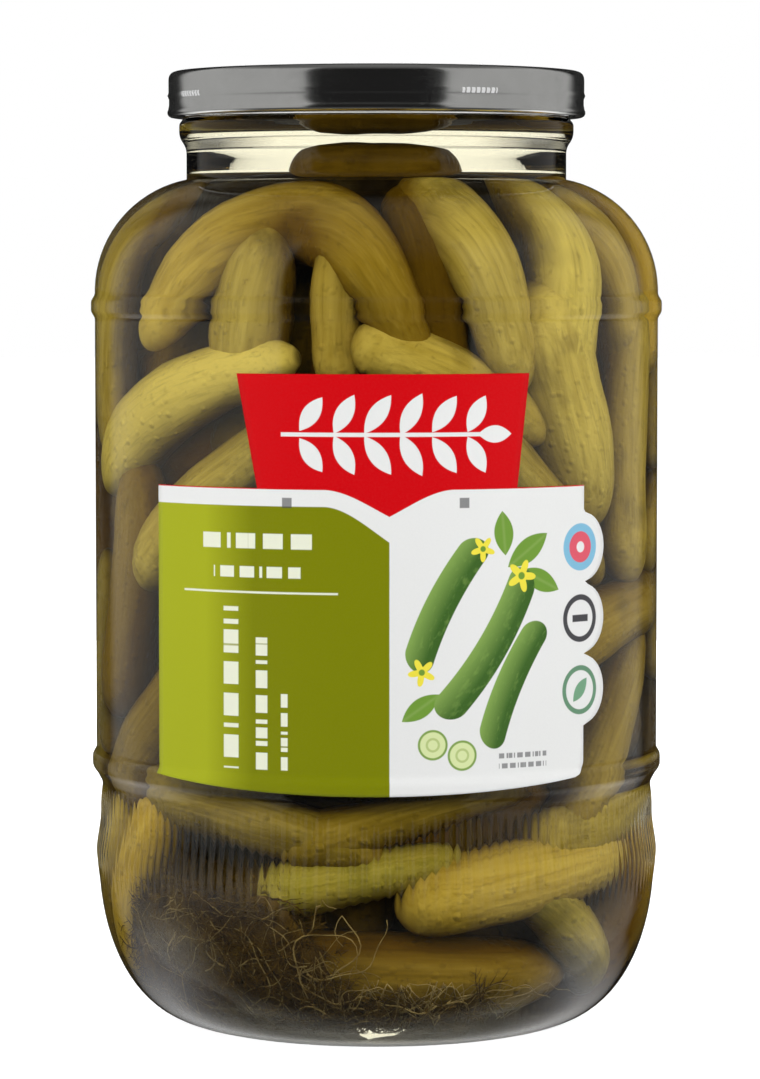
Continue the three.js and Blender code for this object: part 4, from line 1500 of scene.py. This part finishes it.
    def behind(self, lane: Lane) -> Cucumbers:
        """A second layer, all round, behind the first."""
        placed = None
        for index in range(self.inner_count):
            rows = []
            for turn in range(self.tries):
                row = self.ruled_row(lane, index + 100, turn * 10 + 10)
                row[0] = 360 * chance(index + 100, turn * 10 + 16)
                rows.append(row)
            tries = Cucumbers.of(rows, False)
            best = 0 if placed is None else self.freest(lane, placed, tries)
            one = Cucumbers.of([rows[best]], False)
            placed = one if placed is None else placed.joined(one)
        rows = [(row[0], lane.length_at(row[1]), *row[2:]) for row in self.FILLING]
        placed = placed.joined(Cucumbers.of(rows, False))
        return self.below(lane, placed, self.clear_above - 12, 0)

    def spine_of(self, lane: Lane, all_of: Cucumbers, shares: np.ndarray) -> np.ndarray:
        """The spines between the wall and their own chords, run on straight past their ends."""
        held = np.clip(shares, -1, 1)

        def bent(at: np.ndarray) -> np.ndarray:
            """The bent spines at shares between -1 and 1."""
            ends = all_of.spines(lane, np.array([-1.0, 1.0]))["p"]
            chord = ends[:, :1] + (ends[:, 1:] - ends[:, :1]) * ((at + 1) / 2)[None, :, None]
            follow = np.where(all_of.kept, self.front_follow, self.wall_follow)[:, None, None]
            return chord + (all_of.spines(lane, at)["p"] - chord) * follow

        end = bent(held)
        before = bent(np.where(np.abs(shares) > 1, np.sign(shares) * 0.8, held))
        past = np.maximum(np.abs(shares) - 1, 0)[None, :, None] / 0.2
        return end + (end - before) * past

    def frames(self, lane: Lane, one: Cucumbers, shares: np.ndarray) -> tuple[np.ndarray, ...]:
        """The points of one cucumber's spine, and the directions outwards and sideways from them."""
        middle = self.spine_of(lane, one, shares)[0]
        ahead = self.spine_of(lane, one, shares + 0.01)[0] - self.spine_of(lane, one, shares - 0.01)[0]
        ahead /= np.linalg.norm(ahead, axis=1)[:, None]
        radial = middle * [1, 1, 0]
        radial /= np.maximum(np.linalg.norm(radial, axis=1), 1e-6)[:, None]
        side = np.cross(ahead, radial)
        side /= np.linalg.norm(side, axis=1)[:, None]
        return middle, np.cross(side, ahead), side

    def thickness(self, c: list[float], shares: np.ndarray, angles: np.ndarray) -> np.ndarray:
        """How thick one cucumber is along and round its spine, where plump is its full girth.

        Args:
            c: Its own chances.
            shares: Places along it, from -1 to 1.
            angles: Places round it.

        Returns:
            A row of thicknesses for each place along it.
        """
        thick = (1 - np.abs(shares) ** (5 - 1.5 * shares)) ** 0.5 * (1 - 0.1 * shares)
        waves = 0.05 * np.sin(shares * (2.2 + 2 * c[0]) + 6 * c[1]) + 0.02 * np.sin(shares * 9 + 6 * c[2])
        along = shares[:, None]
        lean = angles[None] + 0.5 * along * (c[3] - 0.5)
        shape = 1 + 0.035 * np.cos(3 * lean + 6 * c[4]) + 0.03 * np.cos(2 * lean + 6 * c[5])
        shape += 0.012 * np.sin(5 * lean + 4 * along + 6 * c[6])
        shape += 0.011 * np.sin(7 * lean - 9 * along + 6 * c[7]) * np.cos(11 * along + 6 * c[8])
        return self.plump * (thick * (1 + waves))[:, None] * shape

    def meshes(
        self, lane: Lane, all_of: Cucumbers, jar: GlassJar, first: int, sides: int, rings: int
    ) -> dict[str, object]:
        """The skins of some cucumbers.

        Args:
            lane: The path that they follow.
            all_of: The cucumbers.
            jar: The jar that they stay inside.
            first: The number of the first, for its own chances.
            sides: Faces round each.
            rings: Rings along each.

        Returns:
            Points, faces, and the attributes grain, share, tone, hue and depth.
        """
        points, faces, grain = [], [], []
        marks = {name: [] for name in MARKS}
        shares = -np.cos(np.arange(rings + 2) / (rings + 1) * math.pi)
        angles = np.arange(sides) / sides * 2 * math.pi
        ring_shares = np.concatenate([[-1.0], np.repeat(shares[1:-1], sides), [1.0]])
        turn = np.concatenate([[0.0], np.tile(angles, rings), [0.0]])
        for i in range(len(all_of.half)):
            one = Cucumbers(*(np.array([getattr(all_of, n)[i]]) for n in all_of.__dataclass_fields__))
            half, girth = float(one.half[0]), float(one.girth[0])
            c = [chance(first + i, 50 + k) for k in range(12)]
            middle, out, side = self.frames(lane, one, shares * ((half + girth) / half))
            radius = girth * self.thickness(c, shares, angles)
            body = middle[:, None] + out[:, None] * (radius * np.cos(angles))[..., None]
            body += side[:, None] * (radius * np.sin(angles))[..., None]
            flat = np.concatenate([middle[:1], body[1:-1].reshape(-1, 3), middle[-1:]])
            level = np.hypot(flat[:, 0], flat[:, 1])
            limit = jar.inner_at(flat[:, 2]) - self.clearance
            flat[:, :2] *= np.minimum(1.0, limit / np.maximum(level, 1e-6))[:, None]
            start = len(points)
            points.extend(flat)
            width = girth * (1 - np.abs(ring_shares) ** 4)
            local = np.stack([width * np.cos(turn), width * np.sin(turn), ring_shares * (half + girth)], 1)
            grain.extend(local + np.array([37.0 * c[9], 41.0 * c[10], 300.0 * c[11]]))
            marks["share"].extend(ring_shares)
            marks["tone"].extend(one.tone[0] + one.fade[0] * ring_shares)
            marks["hue"].extend([float(one.hue[0])] * len(flat))
            # How deep each point lies behind the glass, which the finish turns into painted shade.
            marks["depth"].extend(jar.inner_at(flat[:, 2]) - np.hypot(flat[:, 0], flat[:, 1]))
            last = start + len(flat) - 1
            for a in range(sides):
                b = (a + 1) % sides
                faces.append((start, start + 1 + b, start + 1 + a))
                faces.append((last, last - sides + a, last - sides + b))
                for low in range(start + 1, last - sides, sides):
                    faces.append((low + a, low + b, low + sides + b, low + sides + a))
        return {"points": np.array(points), "faces": faces, "grain": grain, **marks}

    def dress(self, name: str, made: dict, material: bpy.types.Material) -> bpy.types.Object:
        """Makes one piece of cucumbers with its attributes."""
        piece = new_object(name, made["points"], made["faces"], material)
        mesh = piece.data
        grain = mesh.attributes.new("grain", "FLOAT_VECTOR", "POINT")
        grain.data.foreach_set("vector", np.array(made["grain"], np.float32).ravel())
        for key in MARKS:
            layer = mesh.attributes.new(key, "FLOAT", "POINT")
            layer.data.foreach_set("value", np.array(made[key], np.float32))
        turn_outwards(piece)
        return piece

    def core(self, jar: GlassJar, finish: CoreFinish) -> bpy.types.Object:
        """The middle of the heap, a body in painted shade."""
        depth = self.core_depth
        floor = jar.floor + 14
        radius = jar.body - jar.wall - depth
        profile = [(0.0, floor), (jar.inner_heel - 16, floor + 0.5)]
        profile += heel((jar.inner_heel - 14, floor + 1), (radius, jar.inner_heel_top + 4), 8)
        profile += [(radius, 90.0), (radius, 145.0), (radius - 6, 160.0), (jar.neck_inner - 19, 171.0)]
        profile += [(6.0, 173.0), (0.0, 173.0)]
        made = turned("heap_inside", profile, 64, finish.material())
        for vertex in made.data.vertices:
            x, y, z = vertex.co / MM
            azimuth = math.atan2(x, -y)
            wave = math.sin(3 * azimuth + z / 9) + math.sin(7 * azimuth - z / 6) * 0.6
            vertex.co.x *= 1 + 0.03 * wave
            vertex.co.y *= 1 + 0.03 * wave
        return made

    def build(self, jar: GlassJar, finish: CucumberFinish, inside: CoreFinish) -> list[bpy.types.Object]:
        """Makes the heap."""
        lane = Lane(Cucumbers.REFERENCE)
        outer = self.meshes(lane, self.against_wall(lane), jar, 0, self.sides, self.rings)
        deep = Lane(self.inner_depth)
        inner = self.meshes(deep, self.behind(deep), jar, 200, 14, 18)
        material = finish.material()
        pieces = [
            self.dress("cucumbers", outer, material),
            self.dress("cucumbers_behind", inner, material),
            self.core(jar, inside),
        ]
        for piece in pieces:
            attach(piece, BODY)
        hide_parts("pickles")
        return pieces


@dataclass
class DillPatch:
    """Where dill lies: between two azimuths, from a foot up to a crest that falls at a step."""

    left: float
    right: float
    step: float
    foot: float
    high: float
    low: float

    def crest(self, azimuth: float) -> float:
        """How high the dill reaches at an azimuth."""
        fall = smooth_step(azimuth, self.step - 8, self.step + 8)
        return self.high + (self.low - self.high) * fall


@dataclass
class Dill(DillPatch):
    """Dill that has sunk to the front left of the heel: a lumpy bed with sprigs lying on it."""

    left: float = -64.0
    right: float = 26.0
    step: float = -14.0
    foot: float = 6.8
    high: float = 31.0
    low: float = 11.5
    gap: float = 1.6
    columns: int = 40
    rows: int = 14
    sprigs: int = 1300
    seed: int = 4
    sprig_length: float = 7.5
    clearance: float = 0.12

    def bed(self, jar: GlassJar) -> tuple[np.ndarray, list]:
        """The closed lumpy bed, the same patch as the solid."""
        points, faces = [], []
        width, count = self.columns + 1, (self.columns + 1) * (self.rows + 1)
        for face in (0, 1):
            for j in range(self.rows + 1):
                for i in range(width):
                    share = i / self.columns
                    azimuth = self.left + (self.right - self.left) * share
                    ragged = 2.2 * math.sin(share * 23) * math.sin(share * 11 + 1)
                    ragged -= 9 * max(0.0, 0.16 - share) / 0.16
                    crest = self.crest(azimuth) + ragged
                    z = self.foot + (crest - self.foot) * j / self.rows
                    inner = 0 < j < self.rows and 0 < i < self.columns
                    lump = (1.2 + 3.2 * chance(i + 61 * j, 41)) if inner else 0.4
                    depth = self.gap + (lump if face else 0.5 * chance(i + 61 * j, 43))
                    r = float(jar.inner_at(np.array(z))) - depth
                    turn = math.radians(azimuth)
                    lift = depth * 0.5 if face else 0.3
                    points.append((r * math.sin(turn), -r * math.cos(turn), z + lift))
        for j in range(self.rows):
            for i in range(self.columns):
                a = j * width + i
                faces.append((a, a + 1, a + 1 + width, a + width))
                faces.append((count + a, count + a + width, count + a + 1 + width, count + a + 1))
        for i in range(self.columns):
            top = self.rows * width + i
            faces.append((i, count + i, count + i + 1, i + 1))
            faces.append((top, top + 1, count + top + 1, count + top))
        for j in range(self.rows):
            a, b = j * width, j * width + self.columns
            faces.append((a, a + width, count + a + width, count + a))
            faces.append((b, count + b, count + b + width, b + width))
        return np.array(points), faces

    def sprig(self) -> bpy.types.Object:
        """A single feathery sprig: a bent stem with thin side hairs."""
        points, faces = [], []
        angles = [corner * 2 * math.pi / 3 for corner in range(3)]
        corners = [np.array([0, math.cos(angle), math.sin(angle)]) for angle in angles]

        def hair(start: np.ndarray, end: np.ndarray, sag: np.ndarray, thick: float, steps: int) -> None:
            """A thin three-sided tube between two points."""
            shares = [k / steps for k in range(steps + 1)]
            path = [start + (end - start) * t + sag * (4 * t * (1 - t)) for t in shares]
            tube(points, faces, path, [[c * (thick * (1 - 0.6 * t)) for c in corners] for t in shares])

        length = self.sprig_length
        bend = np.array([0, 0.9, 0.3])
        hair(np.zeros(3), np.array([length, 0, 0.0]), bend, 0.19, 4)
        for k in range(1, 8):
            t = k / 8.5
            root = np.array([length * t, 0, 0]) + bend * (4 * t * (1 - t))
            side = 1 if k % 2 else -1
            tip = root + np.array([2.0, side * (2.6 - 1.5 * t), 0.5 * chance(k, 90)])
            hair(root, tip, np.array([0.3, side * 0.2, 0.2]), 0.1, 2)
        made = new_object("sprig", np.array(points), faces, None)
        turn_outwards(made)
        return made

    def tree(self) -> Growth:
        """Strews sprigs over the bed, turned at random."""
        sizes = {"Sprigs": self.sprigs, "Seed": self.seed, "Least": 0.6, "Most": 1.35}
        tree = Growth("strewn_sprigs", sizes, ["Sprig"])
        bed = tree.inlet.outputs["Geometry"]
        area = tree.node("GeometryNodeInputMeshFaceArea").outputs[0]
        whole = tree.node("GeometryNodeAttributeStatistic", {"domain": "FACE"}, {0: bed, "Attribute": area})
        density = tree.size("Sprigs") / Value(tree, whole.outputs["Sum"])
        inputs = {"Mesh": bed, "Density": density, "Seed": tree.size("Seed")}
        spots = tree.node("GeometryNodeDistributePointsOnFaces", inputs=inputs)
        inputs = {"Vector": spots.outputs["Normal"]}
        face_out = tree.node("FunctionNodeAlignRotationToVector", {"axis": "Z"}, inputs)
        spin_inputs = {"Min": (-0.35, -0.35, -3.14), "Max": (0.35, 0.35, 3.14), "Seed": tree.size("Seed")}
        spin = tree.node("FunctionNodeRandomValue", {"data_type": "FLOAT_VECTOR"}, spin_inputs)
        euler = tree.node("FunctionNodeEulerToRotation", inputs={0: spin.outputs[0]})
        inputs = {"Rotation": face_out.outputs[0], "Rotate By": euler.outputs[0]}
        facing = tree.node("FunctionNodeRotateRotation", {"rotation_space": "LOCAL"}, inputs)
        inputs = {2: tree.size("Least"), 3: tree.size("Most"), "Seed": tree.size("Seed")}
        scale = tree.node("FunctionNodeRandomValue", {"data_type": "FLOAT"}, inputs)
        sprig = tree.node("GeometryNodeObjectInfo", inputs={"Object": tree.inlet.outputs["Sprig"]})
        inputs = {
            "Points": spots.outputs["Points"],
            "Instance": sprig.outputs["Geometry"],
            "Rotation": facing.outputs[0],
            "Scale": scale.outputs[1],
        }
        strewn = tree.node("GeometryNodeInstanceOnPoints", inputs=inputs)
        both = tree.node("GeometryNodeJoinGeometry", inputs={0: bed})
        tree.feed(both.inputs[0], strewn.outputs[0])
        tree.end(both.outputs[0])
        return tree

    def build(self, jar: GlassJar, finish: DillFinish) -> bpy.types.Object:
        """Makes the dill, kept inside a jar."""
        points, faces = self.bed(jar)
        material = finish.material()
        made = new_object("dill_sprigs", points, faces, material)
        turn_outwards(made)
        sprig = self.sprig()
        self.tree().grow(made, material, Sprig=sprig)
        bpy.data.objects.remove(sprig)
        count = len(made.data.vertices)
        flat = np.empty(count * 3)
        made.data.vertices.foreach_get("co", flat)
        places = flat.reshape(-1, 3) / MM
        floor = jar.floor + jar.punt * 0.6 + 0.3
        places[:, 2] = np.maximum(places[:, 2], floor)
        limit = jar.inner_at(places[:, 2]) - self.clearance
        level = np.hypot(places[:, 0], places[:, 1])
        places[:, :2] *= np.minimum(1.0, limit / level)[:, None]
        made.data.vertices.foreach_set("co", (places * MM).ravel())
        made.data.update()
        made.data.shade_smooth()
        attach(made, BODY)
        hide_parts("dill")
        return made


@dataclass
class DillStalks(DillPatch):
    """Long pale stalks that curl over the dill, close behind the glass."""

    count: int = 110
    steps: int = 16
    sides: int = 4
    thick: float = 0.34
    left: float = -62.0
    right: float = 30.0
    step: float = -12.0
    high: float = 30.0
    low: float = 13.0
    foot: float = 8.5
    turn_radius: float = 50.0

    def path(self, jar: GlassJar, c: list[float]) -> list[np.ndarray]:
        """The middle of the stalk with some chances, point by point."""
        azimuth = self.left + (self.right - self.left) * c[0]
        crest = self.crest(azimuth)
        height = self.foot + (crest - self.foot) * c[1]
        heading = 2 * math.pi * c[2]
        curl = (c[3] - 0.5) * 0.5
        stride = 0.7 + 1.1 * c[4]
        depth = 0.5 + 1.6 * c[5]
        path = []
        for k in range(self.steps + 1):
            r = float(jar.inner_at(np.array(height))) - depth - 0.5 * math.sin(k * 0.5 + 6 * c[6])
            turn = math.radians(azimuth)
            path.append(np.array([r * math.sin(turn), -r * math.cos(turn), height]))
            heading += curl + 0.28 * math.sin(k * 0.9 + 6 * c[7])
            azimuth += math.degrees(stride * math.cos(heading) / self.turn_radius)
            height += stride * math.sin(heading)
            if not self.foot < height < crest + 2:
                heading = -heading
        return path

    def around(self, path: list[np.ndarray], thick: float) -> list[list[np.ndarray]]:
        """The corners' offsets from each point of a stalk that thins towards its end."""
        made = []
        for k, middle in enumerate(path):
            ahead = path[min(k + 1, self.steps)] - path[max(k - 1, 0)]
            ahead = ahead / max(np.linalg.norm(ahead), 1e-6)
            side = np.cross(ahead, middle * [1, 1, 0])
            side = side / max(np.linalg.norm(side), 1e-6)
            out = np.cross(side, ahead)
            size = thick * (1 - 0.6 * k / self.steps) / 2
            angles = [2 * math.pi * corner / self.sides for corner in range(self.sides)]
            made.append([(out * math.cos(angle) + side * math.sin(angle)) * size for angle in angles])
        return made

    def build(self, jar: GlassJar, finish: DillFinish) -> bpy.types.Object:
        """Makes the stalks inside a jar."""
        points, faces = [], []
        for number in range(self.count):
            c = [chance(number, 120 + k) for k in range(9)]
            path = self.path(jar, c)
            tube(points, faces, path, self.around(path, self.thick * (0.45 + 0.8 * c[8])))
        made = new_object("dill_stalks", np.array(points), faces, finish.material("dill_stalk"))
        turn_outwards(made)
        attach(made, BODY)
        return made


@dataclass
class Studio:
    """A pale table, soft lights all round, a backdrop for the glass, and the camera of the picture.

    In the backdrop's pairs, a share rises from 0 at the first number to 1 at the second. They are degrees
    from the front, or for level, back_down and below_start the height of a direction of length 1.
    """

    camera_place: tuple[float, float, float] = (0.75, -898.0, 158.3)
    camera_tilt: float = 3.727
    lens: float = 144.07
    light_distance: float = 800.0
    light_aim: float = 100.0
    dark_half: float = 39.0
    side_glow: float = 0.31
    back_glow: float = 1.25
    top_glow: float = 0.12
    floor_glow: float = 1.0
    dark_glow: float = 0.012
    level_low: tuple[float, float] = (-0.5, -0.2)
    level_high: tuple[float, float] = (0.85, 0.6)
    sides_end: tuple[float, float] = (141.0, 133.0)
    behind_start: tuple[float, float] = (116.0, 126.0)
    behind_mirrored: tuple[float, float] = (166.0, 150.0)
    back_turn: tuple[float, float] = (85.0, 115.0)
    back_down: tuple[float, float] = (-0.85, -0.6)
    below_start: tuple[float, float] = (-0.3, -0.55)

    RENDER = {
        "max_bounces": 9,
        "diffuse_bounces": 1,
        "glossy_bounces": 3,
        "transmission_bounces": 7,
        "transparent_max_bounces": 16,
        "adaptive_threshold": 0.035,
        "adaptive_min_samples": 12,
        "caustics_reflective": False,
        "caustics_refractive": False,
        "sample_clamp_indirect": 8.0,
        "use_denoising": True,
    }

    def lay_floor(self, finish: FloorFinish) -> None:
        """The table, which is not part of the object."""
        vertices, faces = skin([ring(0, 0, 1), ring(400, 0, 64), ring(6000, 0, 64)])
        made = new_object("table", vertices, faces, finish.material())
        made.visible_glossy = made.visible_transmission = made.visible_diffuse = False

    def add_soft_light(self, lamp: Lamp) -> None:
        """A soft light that lights the object but isn't mirrored in it."""
        azimuth, elevation, width, height, power = lamp.value
        azimuth, elevation = math.radians(azimuth), math.radians(elevation)
        data = bpy.data.lights.new(f"soft_{lamp.name.lower()}", "AREA")
        data.shape = "RECTANGLE"
        data.size = width * MM
        data.size_y = height * MM
        data.energy = power
        data.cycles.use_multiple_importance_sampling = False
        light = bpy.data.objects.new(data.name, data)
        flat = self.light_distance * math.cos(elevation)
        rise = self.light_aim + self.light_distance * math.sin(elevation)
        light.location = (flat * math.sin(azimuth) * MM, -flat * math.cos(azimuth) * MM, rise * MM)
        light.rotation_euler = (math.pi / 2 - elevation, 0, azimuth)
        light.visible_camera = False
        light.visible_glossy = False
        light.visible_transmission = False
        bpy.context.scene.collection.objects.link(light)

    def light_world(self) -> None:
        """White behind the object; for its lighting, dim on the camera's side and bright behind."""
        world = bpy.data.worlds.new("studio")
        bpy.context.scene.world = world
        world.use_nodes = True
        world.node_tree.nodes.clear()
        tree = Tree(world.node_tree)
        path = tree.node("ShaderNodeLightPath")
        seen = Value(tree, path.outputs["Is Camera Ray"])
        mirrored = Value(tree, path.outputs["Glossy Depth"]).least(1.0)
        outside = mirrored * (1.0 - Value(tree, path.outputs["Transmission Depth"]).least(1.0))
        x, y, z = tree.parts(tree.node("ShaderNodeTexCoord").outputs["Generated"])
        turn = abs(tree.maths("ARCTAN2", x, 0.0 - y)) * (180 / math.pi)
        level = z.rising(*self.level_low) * z.rising(*self.level_high)
        sides = turn.rising(self.dark_half - 1, self.dark_half + 1) * turn.rising(*self.sides_end) * level
        behind = turn.rising(*self.behind_start) * level * (1.0 - outside)
        behind = behind * (1.0 - mirrored * turn.rising(*self.behind_mirrored) * 0.8)
        back_down = turn.rising(*self.back_turn) * z.rising(*self.back_down)
        below = z.rising(*self.below_start) * (1.0 - mirrored * (1.0 - back_down) * 0.95)
        soft = sides * self.side_glow + behind * self.back_glow + below * self.floor_glow
        soft = soft + z.rising(0.5, 1.0) * self.top_glow + self.dark_glow
        strength = seen * 1.0 + (1.0 - seen) * soft
        glow = tree.node("ShaderNodeBackground", inputs={"Color": (1.0, 1.0, 1.0), "Strength": strength})
        tree.node("ShaderNodeOutputWorld", inputs={"Surface": glow.outputs[0]})

    def set_camera(self) -> None:
        """The camera, at the photograph's angle."""
        data = bpy.data.cameras.new("camera")
        data.sensor_width = 36.0
        data.lens = self.lens
        camera = bpy.data.objects.new("camera", data)
        camera.location = [c * MM for c in self.camera_place]
        camera.rotation_euler = (math.radians(90 - self.camera_tilt), 0, 0)
        bpy.context.scene.collection.objects.link(camera)
        bpy.context.scene.camera = camera

    def set_up(self) -> None:
        """Everything round the object."""
        self.set_camera()
        self.lay_floor(FloorFinish())
        for lamp in Lamp:
            self.add_soft_light(lamp)
        self.light_world()
        scene = bpy.context.scene
        scene.view_settings.view_transform = "Standard"
        for name, value in self.RENDER.items():
            setattr(scene.cycles, name, value)


STALK_FINISH = DillFinish(dark=(0.16, 0.10, 0.028), light=(0.48, 0.36, 0.14))


def triangles(piece: bpy.types.Object) -> int:
    """How many triangles a piece's mesh has, before its modifiers."""
    piece.data.calc_loop_triangles()
    return len(piece.data.loop_triangles)


def main() -> None:
    """Builds the jar and everything in it, then the studio."""
    logging.basicConfig(level=logging.INFO, format="%(message)s")
    jar = GlassJar()
    Studio().set_up()
    pieces = [
        jar.build(GlassFinish()),
        TwistCap().build(LidFinish()),
        PaperLabel().build(jar, LabelFinish()),
        Dill().build(jar, DillFinish()),
        DillStalks().build(jar, STALK_FINISH),
        *PickleHeap().build(jar, CucumberFinish(), CoreFinish()),
        Brine().build(jar, BrineFinish()),
    ]
    for piece in pieces:
        log.info("%s: %d triangles", piece.name, triangles(piece))


if __name__ == "__main__":
    main()
